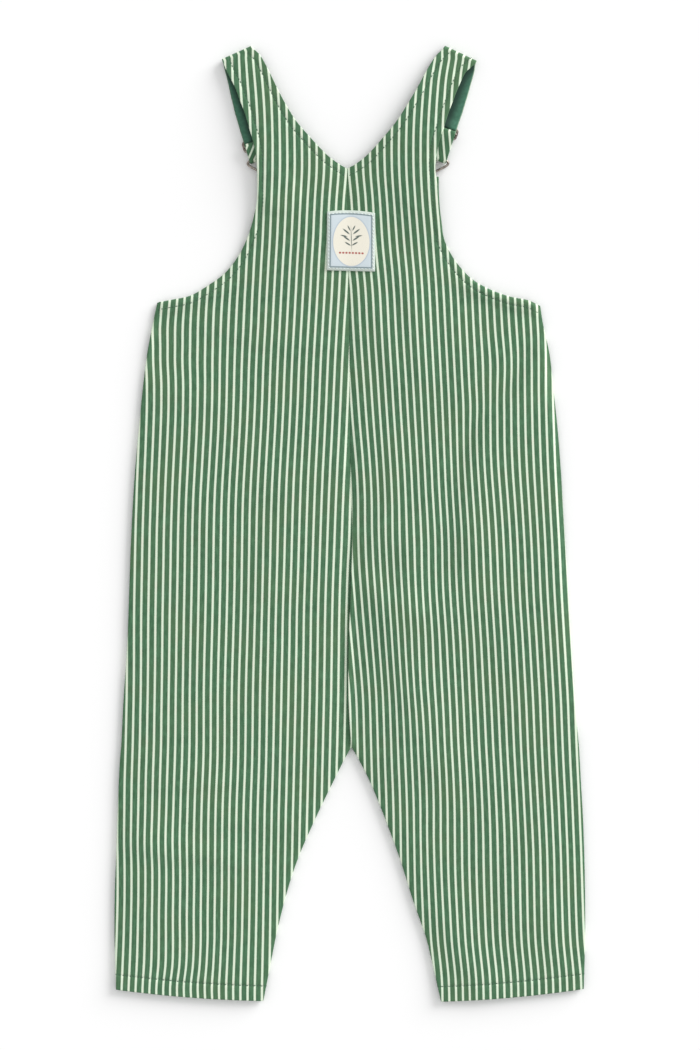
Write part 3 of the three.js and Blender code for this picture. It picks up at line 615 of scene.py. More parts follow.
def mesh_volume(mesh):
    mesh.calc_loop_triangles()
    corners = np.zeros(len(mesh.loop_triangles) * 3, int)
    mesh.loop_triangles.foreach_get("vertices", corners)
    points = np.zeros(len(mesh.vertices) * 3)
    mesh.vertices.foreach_get("co", points)
    a, b, c = points.reshape(-1, 3)[corners].reshape(-1, 3, 3).transpose(1, 0, 2)
    return float((a * np.cross(b, c)).sum() / 6)


def smooth_mesh(name, points, faces):
    """A closed mesh from points in millimetres, shaded smooth and with its faces turned outward."""
    mesh = bpy.data.meshes.new(name)
    mesh.from_pydata((np.asarray(points, float) * MM).tolist(), [], faces)
    mesh.polygons.foreach_set("use_smooth", [True] * len(mesh.polygons))
    if mesh_volume(mesh) < 0:
        mesh.flip_normals()
    return mesh


def shader_of(name):
    material = bpy.data.materials.new(name)
    material.use_nodes = True
    return material, material.node_tree, material.node_tree.nodes["Principled BSDF"]


def feed(tree, socket, value):
    """Gives a node's input a number or a colour, or links it to what another node puts out."""
    if isinstance(value, (int, float, tuple)):
        socket.default_value = value
    else:
        tree.links.new(value, socket)


def add_math(tree, operation, *values):
    node = tree.nodes.new("ShaderNodeMath")
    node.operation = operation
    for socket, value in zip(node.inputs, values):
        feed(tree, socket, value)
    return node.outputs[0]


def add_sum(tree, first, second):
    """The sum of two products."""
    return add_math(tree, "ADD", add_math(tree, "MULTIPLY", *first), add_math(tree, "MULTIPLY", *second))


def add_ramp(tree, value, low, high, start=0.0, end=1.0):
    node = tree.nodes.new("ShaderNodeMapRange")
    node.interpolation_type = "SMOOTHSTEP"
    tree.links.new(value, node.inputs["Value"])
    for name, number in zip(("From Min", "From Max", "To Min", "To Max"), (low, high, start, end)):
        node.inputs[name].default_value = number
    return node.outputs["Result"]


def add_mix(tree, factor, first, second):
    node = tree.nodes.new("ShaderNodeMix")
    node.data_type = "RGBA"
    for place, value in ((0, factor), (6, first), (7, second)):
        feed(tree, node.inputs[place], value)
    return node.outputs[2]


def add_noise(tree, vector, scale, detail=3.0, roughness=0.5):
    node = tree.nodes.new("ShaderNodeTexNoise")
    node.inputs["Scale"].default_value = scale
    node.inputs["Detail"].default_value = detail
    node.inputs["Roughness"].default_value = roughness
    tree.links.new(vector, node.inputs["Vector"])
    return node.outputs["Fac"]


def add_vector(tree, x, y):
    node = tree.nodes.new("ShaderNodeCombineXYZ")
    for socket, value in zip(node.inputs, (x, y)):
        feed(tree, socket, value)
    return node.outputs[0]


def add_streaks(tree, x, y, scales, detail, roughness=0.5):
    """Noise with a scale of its own each way."""
    x = add_math(tree, "MULTIPLY", x, scales[0])
    y = add_math(tree, "MULTIPLY", y, scales[1])
    return add_noise(tree, add_vector(tree, x, y), 1.0, detail, roughness)


def cloth_places(tree):
    """The two values of the cloth's own map."""
    uv = tree.nodes.new("ShaderNodeUVMap")
    uv.uv_map = "cloth"
    split = tree.nodes.new("ShaderNodeSeparateXYZ")
    tree.links.new(uv.outputs["UV"], split.inputs[0])
    return split.outputs[0], split.outputs[1]


RIBS = 7.5  # turns of the ribs' wave for each millimetre, in radians


def twill_bump(tree, shader, across, along, strength, extra=None):
    """Fine diagonal ribs of a twill, across and along in millimetres, with uneven yarns."""
    weave = add_math(tree, "SINE", add_sum(tree, (across, RIBS), (along, RIBS)))
    yarn = add_noise(tree, add_vector(tree, add_math(tree, "MULTIPLY", across, 2.4), along), 1.4, 4.0)
    height = add_sum(tree, (weave, 0.06), (yarn, 0.3))
    if extra is not None:
        height = add_math(tree, "ADD", height, extra)
    bump = tree.nodes.new("ShaderNodeBump")
    bump.inputs["Strength"].default_value = strength
    bump.inputs["Distance"].default_value = 0.25 * MM
    tree.links.new(height, bump.inputs["Height"])
    tree.links.new(bump.outputs["Normal"], shader.inputs["Normal"])


GREEN_DARK = (0.050, 0.132, 0.064, 1)
GREEN_LIGHT = (0.082, 0.200, 0.104, 1)
GREEN_DEEP = (0.036, 0.108, 0.052, 1)
GREEN_WARM = (0.090, 0.160, 0.070, 1)
ECRU_WARM = (0.72, 0.76, 0.62, 1)
ECRU_COOL = (0.64, 0.80, 0.62, 1)
STRIPE_PITCH = 5.3
STRIPE_UNEVEN = 0.06
STRIPE_EDGE = (0.1, 0.206)  # the ecru fades out between these shares of the pitch from a stripe's middle


def make_twill(name):
    """Yarn-dyed twill: green with an ecru stripe a third of the repeat wide."""
    material, tree, shader = shader_of(name)
    number, along = cloth_places(tree)
    across = add_math(tree, "MULTIPLY", number, STRIPE_PITCH)
    fuzz = add_streaks(tree, across, along, (0.6, 1.6), 2.0)
    wobble = add_streaks(tree, across, along, (0.015, 0.022), 1.0)
    shifted = number
    for noise in (fuzz, wobble):
        shift = add_math(tree, "MULTIPLY", add_math(tree, "SUBTRACT", noise, 0.5), STRIPE_UNEVEN)
        shifted = add_math(tree, "ADD", shifted, shift)
    share = add_math(tree, "FRACT", add_math(tree, "ADD", shifted, 0.5))
    away = add_math(tree, "ABSOLUTE", add_math(tree, "SUBTRACT", share, 0.5))
    stripe = add_ramp(tree, away, *STRIPE_EDGE, 1.0, 0.0)
    slub = add_streaks(tree, across, along, (1.1, 0.12), 3.0)
    cloud = add_streaks(tree, across, along, (0.22, 0.16), 4.0, 0.6)
    broad = add_streaks(tree, across, along, (0.03, 0.02), 3.0, 0.6)
    green = add_mix(tree, add_ramp(tree, slub, 0.3, 0.7), GREEN_DARK, GREEN_LIGHT)
    green = add_mix(tree, add_ramp(tree, cloud, 0.35, 0.7, 0.0, 0.5), green, GREEN_DEEP)
    green = add_mix(tree, add_ramp(tree, broad, 0.4, 0.7, 0.0, 0.45), green, GREEN_WARM)
    ecru = add_mix(tree, add_ramp(tree, slub, 0.25, 0.75), ECRU_WARM, ECRU_COOL)
    tree.links.new(add_mix(tree, stripe, green, ecru), shader.inputs["Base Color"])
    shader.inputs["Roughness"].default_value = 0.86
    shader.inputs["Specular IOR Level"].default_value = 0.25
    shader.inputs["Sheen Weight"].default_value = 0.12
    shader.inputs["Sheen Roughness"].default_value = 0.5
    shader.inputs["Sheen Tint"].default_value = (0.9, 1.0, 0.92, 1)
    twill_bump(tree, shader, across, along, 0.35, add_math(tree, "MULTIPLY", stripe, 0.12))
    return material


twill = make_twill("striped_twill")

STITCH_IN = 5.2  # the neck and armhole topstitching runs this far inside the edge
STITCH_NEARER = 1.5  # the armhole's comes this much nearer to the edge at the root of the strap
ROOT_MIDDLE, ROOT_REACH = 257, 18
CHANNEL_WIDTH = 0.9
CHANNEL_DEPTH = 0.4
PUCKER_HEIGHT = 0.11  # the stitching draws the cloth up into small uneven ripples
PUCKER_REACH = 4.0
SEAM_ROLL = 1.6  # the wall rolls down over this width at the side seam and the inseam
ROLL_DROP = 0.15
# How far the wall rolls down at the centre seam, with how far the right half's edge stands over the left
# one's, by height up the back.
VALLEY_WIDTH = 2.6
VALLEY = (
    (-170, 0.0, 1.7),
    (-30, 0.0, 1.6),
    (-12, 0.1, 0.8),
    (0, 0.0, 0.3),
    (20, 0.35, 0.2),
    (55, 0.3, 0.1),
    (85, 0.0, 0.0),
    (110, 0.25, 0.1),
    (140, 0.3, 0.1),
    (165, 0.1, 0.0),
    (270, 0.15, 0.0),
)
STEP_DOWN, STEP_DOWN_WIDTH = 0.4, 16.0  # the left half's share of the step and its width
STEP_UP, STEP_UP_WIDTH = 0.7, 5.0
HEM_PLACES = (0, 0.5, 1.4, 3.5, 6, 8.5, 10, 10.8, 11.3, 11.8, 12, 12.7, 13.6, 15.5, 18, 22, 27, 31.5)
TAIL_TWIST = 1.65  # the strap's end skews by this many stripes between the slide and the buckle
LEG_ROWS, BODY_ROWS, UPPER_ROWS, STRAP_ROWS = 62, 96, 92, 50
FOLD_ROWS, RUN_ROWS, TURN_ROWS, TAIL_ROWS = 12, 44, 12, 10


def edge_line(tables, side, end):
    """One edge of a half in plan through several stretches, each with its own count of points."""
    points = []
    for table, count in tables:
        t = np.linspace(0, 1, count)
        rows = strap_to_fold(side, t) if table is STRAP else sections(table, side, t)
        points.append(rows[:, 0:2] if end == "out" else rows[:, 2:4])
    return np.concatenate(points)


def inside_line(points, middle, distance):
    """An edge moved in by a distance, towards the side on which middle lies."""
    step = np.gradient(points, axis=0)
    step /= np.linalg.norm(step, axis=1, keepdims=True)
    normal = np.stack([-step[:, 1], step[:, 0]], axis=1)
    towards = np.sign(((np.asarray(middle) - points) * normal).sum(axis=1))
    sign = 1 if towards.sum() > 0 else -1
    return points + normal * sign * distance


def distance_to(points, line):
    """The distance in plan from each point to a line of points, and how far along it the nearest place is."""
    best = np.full(len(points), 1e9)
    place = np.zeros(len(points))
    gone = 0.0
    for a, b in zip(line, line[1:]):
        ab = b - a
        long = math.hypot(*ab)
        share = np.clip(((points - a) @ ab) / max(long * long, 1e-9), 0, 1)
        apart = np.hypot(*(points - a - share[:, None] * ab).T)
        place = np.where(apart < best, gone + share * long, place)
        best = np.minimum(best, apart)
        gone += long
    return best, place


LEG_STRETCHES = len(LEG) - 1
FIRST_STRETCH = 33  # from the hem's folded edge to the next section of LEG
HEM_LINE_T = HEM_DEPTH / FIRST_STRETCH / LEG_STRETCHES
STITCH_UP = 11.3  # the hem's stitching above its folded edge


def hem_plan(side, u, distances):
    """Places in plan at some distances above the hem's folded edge."""
    edge_x, edge_y = plan(sections(LEG, side, 0.0), u)
    up_x, up_y = plan(sections(LEG, side, 1 / LEG_STRETCHES), u)
    share = np.asarray(distances, float)[:, None] / np.hypot(up_x - edge_x, up_y - edge_y)
    return edge_x + (up_x - edge_x) * share, edge_y + (up_y - edge_y) * share


def seam_lines(name):
    """The topstitched lines of a back half in plan."""
    side = SIDES[name]
    armhole = edge_line(((UPPER, 90), (STRAP, 60)), side, "out")
    neck = edge_line(((STRAP, 80),), side, "in")
    hem_x, hem_y = hem_plan(side, np.linspace(0.004, 0.996, 80)[None], [STITCH_UP])
    nearer = STITCH_NEARER * np.exp(-(((armhole[:, 1:] - ROOT_MIDDLE) / ROOT_REACH) ** 2))
    return {
        "armhole": inside_line(armhole, (side * 40, 200), STITCH_IN - nearer),
        "neck": inside_line(neck, (side * 60, 262), STITCH_IN),
        "hem": np.stack([hem_x[0], hem_y[0]], axis=1),
    }


def back_half(name):
    """A back half as one piece, and the middles of its wall up to the shoulder fold."""
    side = SIDES[name]
    slide = HOOKS[name]["slide"]
    middle, along, across = hook_frame(name)
    hem_rows = len(HEM_PLACES)
    leg_t = np.concatenate([np.zeros(hem_rows), np.linspace(1 / LEG_STRETCHES, 1, LEG_ROWS)])
    leg = sections(LEG, side, leg_t)
    body = sections(BODY, side, np.linspace(0, 1, BODY_ROWS)[1:])
    upper = sections(UPPER, side, np.linspace(0, 1, UPPER_ROWS)[1:])
    strap = strap_to_fold(side, np.linspace(0, 1, STRAP_ROWS)[1:])
    flat = np.concatenate([leg, body, upper, strap])
    u = place_across(flat)
    x, y = plan(flat, u)
    x[:hem_rows], y[:hem_rows] = hem_plan(side, u[:1], HEM_PLACES)
    share = np.array(HEM_PLACES)[:, None] / HEM_PLACES[-1]
    flat[:hem_rows, 4:7] = flat[0, 4:7] + (flat[hem_rows, 4:7] - flat[0, 4:7]) * share
    z = back_height(flat, u, x, y)
    hem = np.zeros(z.shape)
    hem[: HEM_PLACES.index(HEM_DEPTH) + 1] = 1
    z = np.where(hem > 0, np.maximum(z, HEM_Z), z)
    points = np.stack([x.ravel(), y.ravel()], axis=1)
    lines = seam_lines(name)
    relief = np.zeros(len(points))
    for line in lines.values():
        apart, place = distance_to(points, line)
        relief -= CHANNEL_DEPTH * np.exp(-((apart / CHANNEL_WIDTH) ** 2))
        ripple = np.sin(place / 1.75 + 2.2 * np.sin(place / 7.3))
        ripple += 0.8 * np.sin(place / 3.1 + 1.7 * np.sin(place / 11.9))
        relief += PUCKER_HEIGHT * ripple * np.exp(-((apart / PUCKER_REACH) ** 2))
    from_out = u * width_of(flat)
    from_in = width_of(flat) - from_out
    row = np.arange(len(flat))[:, None]
    on_leg = row < len(leg)
    on_seam = (row >= len(leg)) & (row < len(leg) + len(body) + len(upper))
    roll = ROLL_DROP * (1 - ease(from_out, 0, SEAM_ROLL)) * (row < len(leg) + len(body))
    roll += ROLL_DROP * (1 - ease(from_in, 0, SEAM_ROLL)) * on_leg
    levels, depths, steps = np.array(VALLEY).T
    depth = np.interp(y, levels, depths)
    step = np.interp(y, levels, steps)
    valley = depth * (1 - ease(from_in, 0, VALLEY_WIDTH)) * on_seam
    share, reach = (-STEP_DOWN, STEP_DOWN_WIDTH) if side < 0 else (STEP_UP, STEP_UP_WIDTH)
    lap = share * step * (1 - ease(from_in, 0, reach)) * on_seam
    z = z + relief.reshape(z.shape) - roll - valley + lap
    z = np.maximum(z, front_surface(x, y) + CLOTH)
    stripes = stripe_number(name, x, y)
    wide = np.stack([x, y, z], axis=-1)
    fold, away = shoulder_fold(side)
    run, heights = front_strap_run(name, RUN_ROWS)
    bar_turn = WIRE_RADIUS + GAP + CLOTH / 2
    rest = turned(fold, away, CLOTH / 2 + FOLD_RADIUS, FOLD_RADIUS, 1, FOLD_ROWS)
    rest += list(zip(run, heights))
    twists = [0.0] * (FOLD_ROWS - 1)
    on_run = ((run[:, 0:2] + run[:, 2:4]) / 2 - middle) @ along
    twists += list(TAIL_TWIST * ease(on_run, -slide, 0))
    rest += turned(hooked_section(name, 0), along, BAR_Z, bar_turn, -1, TURN_ROWS)
    twists += [TAIL_TWIST] * (TURN_ROWS - 1)
    twists += list(TAIL_TWIST * (1 - np.linspace(0, 1, TAIL_ROWS)))
    for share in np.linspace(0, 1, TAIL_ROWS):
        z_tail = BAR_Z + bar_turn + (SLIDE_BAR_Z + TAIL_TURN - BAR_Z - bar_turn) * ease(share, 0, 1)
        rest.append((hooked_section(name, -slide * share), z_tail))
    rest += turned(hooked_section(name, -slide), -along, SLIDE_BAR_Z, TAIL_TURN, 1, TURN_ROWS)
    for down in (0, TAIL_UNDER / 2, TAIL_UNDER):
        rest.append((hooked_section(name, down - slide), SLIDE_BAR_Z - TAIL_TURN))
    narrow = np.array([section for section, _ in rest])
    narrow_z = np.array([height for _, height in rest])[:, None]
    x, y = plan(narrow, place_across(narrow))
    narrow_middles = np.stack([x, y, np.broadcast_to(narrow_z, x.shape)], axis=-1)
    twists = np.array(twists + [0.0] * (len(narrow) - len(twists)))
    middles = np.concatenate([wide, narrow_middles])
    numbers = np.concatenate([stripes, stripes[-1] - side * twists[:, None]])
    turned_up = np.concatenate([hem, np.zeros(x.shape)]) * HEM_TURN
    steps = np.linalg.norm(np.diff(middles, axis=0), axis=2)
    lengths = np.concatenate([np.zeros((1, middles.shape[1])), np.cumsum(steps, axis=0)])
    lengths = np.broadcast_to(lengths.mean(axis=1, keepdims=True), lengths.shape)
    piece = shell("back_" + name + "_cloth", middles, numbers, lengths, inside=turned_up)
    piece.data.materials.append(twill)
    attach(piece, "root")
    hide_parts("back_" + name)
    return piece, wide


backs = {}
back_tops = {}
for name in SIDES:
    backs[name], grid = back_half(name)
    back_tops[name] = grid.reshape(-1, 3) + np.array((0, 0, CLOTH / 2))

all_tops = np.concatenate(list(back_tops.values()))
tree_of_tops = KDTree(len(all_tops))
for i, point in enumerate(all_tops):
    tree_of_tops.insert((point[0], point[1], 0), i)
tree_of_tops.balance()


def top_at(x, y, near=6):
    """The height of the back's upper face at a place in plan, from the nearest points of its grid."""
    found = tree_of_tops.find_n((x, y, 0), near)
    weights = np.array([1 / (distance + 0.05) ** 2 for _, _, distance in found])
    heights = np.array([all_tops[i, 2] for _, i, _ in found])
    return float((weights * heights).sum() / weights.sum())


# Front halves
# The two front halves are cut from the same twill and lie under the back, from the turned-up leg hems to
# the top of the bib. The bib lifts a little over the two buttons.
BIB = (
    (144, 165.5, 142.4, 163, 166, 0, 0, 0),
    (119.7, 170.5, 120.7, 169.5, 178, 0, 0, 0),
    (92.5, 188.5, 91.5, 183, 196, 0, 0, 0),
    (76.8, 213.5, 73.3, 206, 215, 0, 0, 0),
    (70.5, 233, 68.5, 229, 232, 0, 0, 0),
    (68.6, 247, 66.9, 246, 246.5, 0, 0, 0),
    (67.4, 259.5, 66.7, 259.5, 259.5, 0, 0, 0),
)
FRONT_INSET = 0.4
SEAM_CLOSES = (-190, -167)  # the inseams run together over these heights into the centre-front seam
EDGE_CURL = 0.8  # its side edges rise this much to the seams
CURL_WIDTH = 9
for name, side in SIDES.items():
    hem_t = np.append(np.linspace(0, HEM_LINE_T, 5), HEM_LINE_T * 1.1)
    leg_t = np.append(hem_t, np.linspace(HEM_LINE_T * 1.5, 1, 40))
    rows = np.concatenate([
        sections(LEG, side, leg_t),
        sections(BODY, side, np.linspace(0, 1, 50)[1:]),
        sections(BIB, side, np.linspace(0, 1, 50)[1:]),
    ])
    inward = rows[:, 2:4] - rows[:, 0:2]
    inward *= FRONT_INSET / np.linalg.norm(inward, axis=1, keepdims=True)
    rows[:, 0:2] += inward
    rows[:, 2:4] -= inward * (1 - ease(rows[:, 3:4], *SEAM_CLOSES))
    u = np.concatenate([[0, 0.006, 0.02], np.linspace(0.05, 0.95, 28), [0.98, 0.994, 1]])[None]
    u = np.broadcast_to(u, (len(rows), u.shape[1]))
    x, y = plan(rows, u)
    z = front_surface(x, y)
    width = width_of(rows)
    curl = 1 - ease(u * width, 0, CURL_WIDTH)
    on_leg = np.arange(len(rows))[:, None] < len(leg_t)
    curl = np.where(on_leg, np.maximum(curl, 1 - ease((1 - u) * width, 0, CURL_WIDTH)), curl)
    z = z + EDGE_CURL * curl * ease(y, -350, -320) * (1 - ease(y, 150, 175))
    hem = np.zeros(z.shape)
    hem[:5] = HEM_TURN
    middles = np.stack([x, y, z], axis=-1)
    front = shell("front_" + name + "_cloth", middles, stripe_number(name, x, y), y, inside=-hem)
    front.data.materials.append(twill)
    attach(front, "root")
    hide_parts("front_" + name)

# Strap facings
# A plain green cotton strip lines each strap. It shows where the strap's front half turns its inside up,
# from the slide over the shoulder fold and a little way down under the back half.
# The facing's colour holds painted shade: it is darker beside the strap's edge, where the strap above shades
# it.
FACING_INSET = 0.5
FACING_ON_BACK = 0.22
PAINTED_SHADE_WIDTH = 5.0  # painted shade: the facing is coloured darkest beside the strap's edge, where the strap shades it, and lightens over this width
PAINTED_SHADE_REACH = {"left": 0.0, "right": 2.4}  # how much further past each strap's edge the painted shade reaches
# The deepest colour is painted shade beside the strap's edge.
FACING_PAINTED_SHADE = (0.012, 0.050, 0.032, 1)
FACING_DARK = (0.036, 0.130, 0.078, 1)
FACING_LIGHT = (0.052, 0.172, 0.108, 1)
facing_material, tree, shader = shader_of("plain_facing")
past_strap_edge, long = cloth_places(tree)
cloud = add_noise(tree, add_vector(tree, past_strap_edge, long), 0.35, 4.0)
dye_and_shade = add_mix(tree, add_ramp(tree, cloud, 0.3, 0.7), FACING_DARK, FACING_LIGHT)
# Painted shade: the colour darkens towards the strap's edge, where the strap shades the facing.
dye_and_shade = add_mix(tree, add_ramp(tree, past_strap_edge, -0.5, PAINTED_SHADE_WIDTH), FACING_PAINTED_SHADE, dye_and_shade)
tree.links.new(dye_and_shade, shader.inputs["Base Color"])
shader.inputs["Roughness"].default_value = 0.72
shader.inputs["Specular IOR Level"].default_value = 0.35
shader.inputs["Sheen Weight"].default_value = 0.2
twill_bump(tree, shader, past_strap_edge, long, 0.3)
for name, side in SIDES.items():
    hook = HOOKS[name]
    middle, along, across = hook_frame(name)
    run, heights = front_strap_run(name, 60)
    end_a = -hook["slide"] - TAIL_TURN - CLOTH / 2 - GAP
    place = ((run[:, 0:2] + run[:, 2:4]) / 2 - middle) @ along
    keep = place < end_a
    fold, away = shoulder_fold(side)
    rows = list(zip(run[keep][::-1], heights[keep][::-1] + LAYER))
    rows += turned(fold, away, CLOTH / 2 + FOLD_RADIUS, FOLD_RADIUS - LAYER, 1, FOLD_ROWS)[::-1]
    back = strap_to_fold(side, np.linspace(1, 1 - FACING_ON_BACK, 12))
    half = np.array([[0.5]])
    rows += [(row, back_height(row[None], half, *plan(row[None], half))[0, 0] - LAYER) for row in back]
    table = np.array([row for row, _ in rows])
    inward = table[:, 2:4] - table[:, 0:2]
    inward *= FACING_INSET / np.linalg.norm(inward, axis=1, keepdims=True)
    table[:, 0:2] += inward
    table[:, 2:4] -= inward
    u = np.concatenate([[0, 0.02], np.linspace(0.06, 0.94, 14), [0.98, 1]])
    u = np.broadcast_to(u, (len(table), len(u)))
    x, y = plan(table, u)
    z = np.broadcast_to(np.array([h for _, h in rows])[:, None], x.shape)
    strap_edge = edge_line(((STRAP, 80),), side, "out")
    # The distance past the strap's edge, over which the painted shade lightens.
    past_strap_edge = distance_to(np.stack([x.ravel(), y.ravel()], axis=1), strap_edge)[0].reshape(x.shape)
    edge_x = np.interp(y, strap_edge[:, 1], strap_edge[:, 0])
    past_strap_edge = np.where(side * (x - edge_x) > 0, past_strap_edge, -past_strap_edge) - PAINTED_SHADE_REACH[name]
    facing = shell("facing_" + name + "_cloth", np.stack([x, y, z], axis=-1), past_strap_edge, y)
    facing.data.materials.append(facing_material)
    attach(facing, "root")
    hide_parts("facing_" + name)

# Label
# A woven label is stitched down round its edge over the centre-back seam, just under the V neck: an
# off-white border, a pale blue field and a cream oval with a small sprig over a row of red dots.
LABEL_CORNERS = np.array(((-16.9, 233.3), (18.7, 232.2), (18.7, 188.8), (-17.3, 189.8)))
LABEL_BOW = 1.5
LABEL_THICKNESS = 0.7
LABEL_SPAN = (36, 44)
LABEL_SWELL = 0.25  # it stands this much higher inside its stitching
steps = 30
u, v = np.meshgrid(np.linspace(0, 1, steps + 1), np.linspace(0, 1, steps + 1))
top_left, top_right, low_right, low_left = LABEL_CORNERS[:, :, None, None]
x, y = (top_left * (1 - u) + top_right * u) * (1 - v) + (low_left * (1 - u) + low_right * u) * v
y = y + LABEL_BOW * 4 * u * (1 - u) * (1 - v)
z = np.array([[top_at(a, b, 12) for a, b in zip(*pair)] for pair in zip(x, y)])
for _ in range(80):
    z[1:-1, 1:-1] = (z[1:-1, 1:-1] * 4 + z[:-2, 1:-1] + z[2:, 1:-1] + z[1:-1, :-2] + z[1:-1, 2:]) / 8
rim = np.minimum(np.minimum(u, 1 - u) * LABEL_SPAN[0], np.minimum(v, 1 - v) * LABEL_SPAN[1])
z = z + GAP + LABEL_THICKNESS / 2 + LABEL_SWELL * ease(rim, 1.0, 4.0)
label = shell("label_cloth", np.stack([x, y, z], axis=-1), u, v, thickness=LABEL_THICKNESS)
label_material, tree, shader = shader_of("woven_label")
WOVEN_SIZE = (35.8, 44.0)
wide, high = (add_math(tree, "MULTIPLY", place, size) for place, size in zip(cloth_places(tree), WOVEN_SIZE))


def ellipse(tree, wide, high, middle, radii, angle=0.0, soft=0.25):
    """1 inside an ellipse and 0 outside it, in millimetres from the label's top left corner."""
    c, s = math.cos(math.radians(angle)), math.sin(math.radians(angle))
    dx = add_math(tree, "SUBTRACT", wide, middle[0])
    dy = add_math(tree, "SUBTRACT", high, middle[1])
    a = add_sum(tree, (dx, c / radii[0]), (dy, s / radii[0]))
    b = add_sum(tree, (dy, c / radii[1]), (dx, -s / radii[1]))
    r = add_math(tree, "SQRT", add_sum(tree, (a, a), (b, b)))
    spread = soft / min(radii)
    return add_ramp(tree, r, 1 - spread, 1 + spread, 1.0, 0.0)


BORDER_WHITE = (0.575, 0.645, 0.585, 1)
LINE_GREY = (0.20, 0.27, 0.29, 1)
FIELD_BLUE = (0.60, 0.68, 0.72, 1)
RIM_BLUE = (0.44, 0.52, 0.60, 1)
CREAM = (0.84, 0.80, 0.68, 1)
SPRIG_GREEN = (0.07, 0.10, 0.085, 1)
DOT_RED = (0.42, 0.09, 0.07, 1)
WEAVE_GREY = (0.35, 0.39, 0.40, 1)
inset_x = add_math(tree, "MINIMUM", wide, add_math(tree, "SUBTRACT", WOVEN_SIZE[0], wide))
inset_y = add_math(tree, "MINIMUM", high, add_math(tree, "SUBTRACT", WOVEN_SIZE[1], high))
inset = add_math(tree, "MINIMUM", inset_x, inset_y)
colour = add_mix(tree, add_ramp(tree, inset, 1.7, 2.2), BORDER_WHITE, LINE_GREY)
colour = add_mix(tree, add_ramp(tree, inset, 2.7, 3.3), colour, FIELD_BLUE)
OVAL_MIDDLE = (18.2, 22.6)
colour = add_mix(tree, ellipse(tree, wide, high, OVAL_MIDDLE, (14.3, 18.7), 0, 0.5), colour, RIM_BLUE)
colour = add_mix(tree, ellipse(tree, wide, high, OVAL_MIDDLE, (13.6, 18.0), 0, 0.3), colour, CREAM)
# The sprig: columns are the middle of each leaf or stem stretch, its half length and half width, its angle.
SPRIG = (
    (18.2, 20.6, 7.2, 0.28, 88),
    (14.4, 15.4, 3.0, 0.62, 38),
    (22.0, 15.2, 3.0, 0.62, 142),
    (12.6, 18.6, 2.4, 0.5, 12),
    (23.8, 18.4, 2.4, 0.5, 168),
    (14.6, 20.4, 2.9, 0.6, 34),
    (21.8, 20.2, 2.9, 0.6, 146),
    (15.6, 24.4, 2.4, 0.55, 30),
    (20.8, 24.2, 2.4, 0.55, 150),
    (16.4, 12.9, 2.0, 0.5, 62),
    (20.0, 12.8, 2.0, 0.5, 118),
)
for mid_x, mid_y, half_length, half_width, angle in SPRIG:
    leaf = ellipse(tree, wide, high, (mid_x, mid_y), (half_length, half_width), angle, 0.22)
    colour = add_mix(tree, leaf, colour, SPRIG_GREEN)
DOTS = 8
DOT_PITCH = 2.4
for k in range(DOTS):
    dot_x = OVAL_MIDDLE[0] + (k - (DOTS - 1) / 2) * DOT_PITCH
    dot = ellipse(tree, wide, high, (dot_x, 31.0), (0.9, 0.75))
    colour = add_mix(tree, dot, colour, DOT_RED)
weave = add_streaks(tree, wide, high, (2.0, 5.0), 2.0)
colour = add_mix(tree, add_ramp(tree, weave, 0.35, 0.75, 0.0, 0.22), colour, WEAVE_GREY)
tree.links.new(colour, shader.inputs["Base Color"])
shader.inputs["Roughness"].default_value = 0.6
shader.inputs["Specular IOR Level"].default_value = 0.4
shader.inputs["Sheen Weight"].default_value = 0.1
twill_bump(tree, shader, wide, high, 0.25)
label.data.materials.append(label_material)
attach(label, "root")
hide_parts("label")

# Topstitching
# Green sewing thread: one row 5 mm inside the neck and armhole edges, one on each turned hem and one round
# the label. Each stitch is a short rounded length of thread sunk in the cloth at its ends.
STITCH_PITCH = 2.7 * MM
STITCH_LENGTH = 2.1
STITCH_RADIUS = 0.3
STITCH_END_Z = -0.25
THREAD_GRAIN = 900.0


def make_thread(name, dark, light, roughness, sheen):
    material, tree, shader = shader_of(name)
    coordinates = tree.nodes.new("ShaderNodeTexCoord")
    twist = add_noise(tree, coordinates.outputs["Object"], THREAD_GRAIN, 2.0)
    tree.links.new(add_mix(tree, twist, dark, light), shader.inputs["Base Color"])
    shader.inputs["Roughness"].default_value = roughness
    shader.inputs["Sheen Weight"].default_value = sheen
    return material


green_thread = make_thread("green_thread", (0.022, 0.075, 0.040, 1), (0.050, 0.135, 0.075, 1), 0.55, 0.15)
label_thread = make_thread("label_thread", (0.60, 0.68, 0.70, 1), (0.78, 0.84, 0.84, 1), 0.6, 0.0)


def circle(radius, count=14):
    angles = np.linspace(0, 2 * math.pi, count, endpoint=False)
    return [(radius * math.cos(t), radius * math.sin(t)) for t in angles]


def closed_rings(first, rings, last):
    """Points and faces of a form that runs from one point through rings of points to another point."""
    count = len(rings[0])
    points = [first, *[point for ring in rings for point in ring], last]
    end = len(points) - 1
    faces = []
    for k in range(count):
        n = (k + 1) % count
        faces.append((0, 1 + n, 1 + k))
        faces.append((end, end - count + k, end - count + n))
        for ring in range(len(rings) - 1):
            a = 1 + ring * count
            faces.append((a + k, a + n, a + count + n, a + count + k))
    return points, faces


def stitch_shape(name, up):
    """One stitch along X: a rounded thread whose ends dip into the cloth, from above or from below."""
    stages, sides = 6, 6
    rings = []
    for k in range(1, stages):
        t = k / stages
        lift = 0.16 * math.sin(math.pi * t) - 0.05
        radius = STITCH_RADIUS * math.sin(math.pi * t) ** 0.5
        ring = [(radius * y, lift + 0.8 * radius * z) for y, z in circle(1, sides)]
        rings.append([((t - 0.5) * STITCH_LENGTH, y, up * z) for y, z in ring])
    first = (-STITCH_LENGTH / 2, 0, up * STITCH_END_Z)
    last = (STITCH_LENGTH / 2, 0, up * STITCH_END_Z)
    return bpy.data.objects.new(name, smooth_mesh(name, *closed_rings(first, rings, last)))


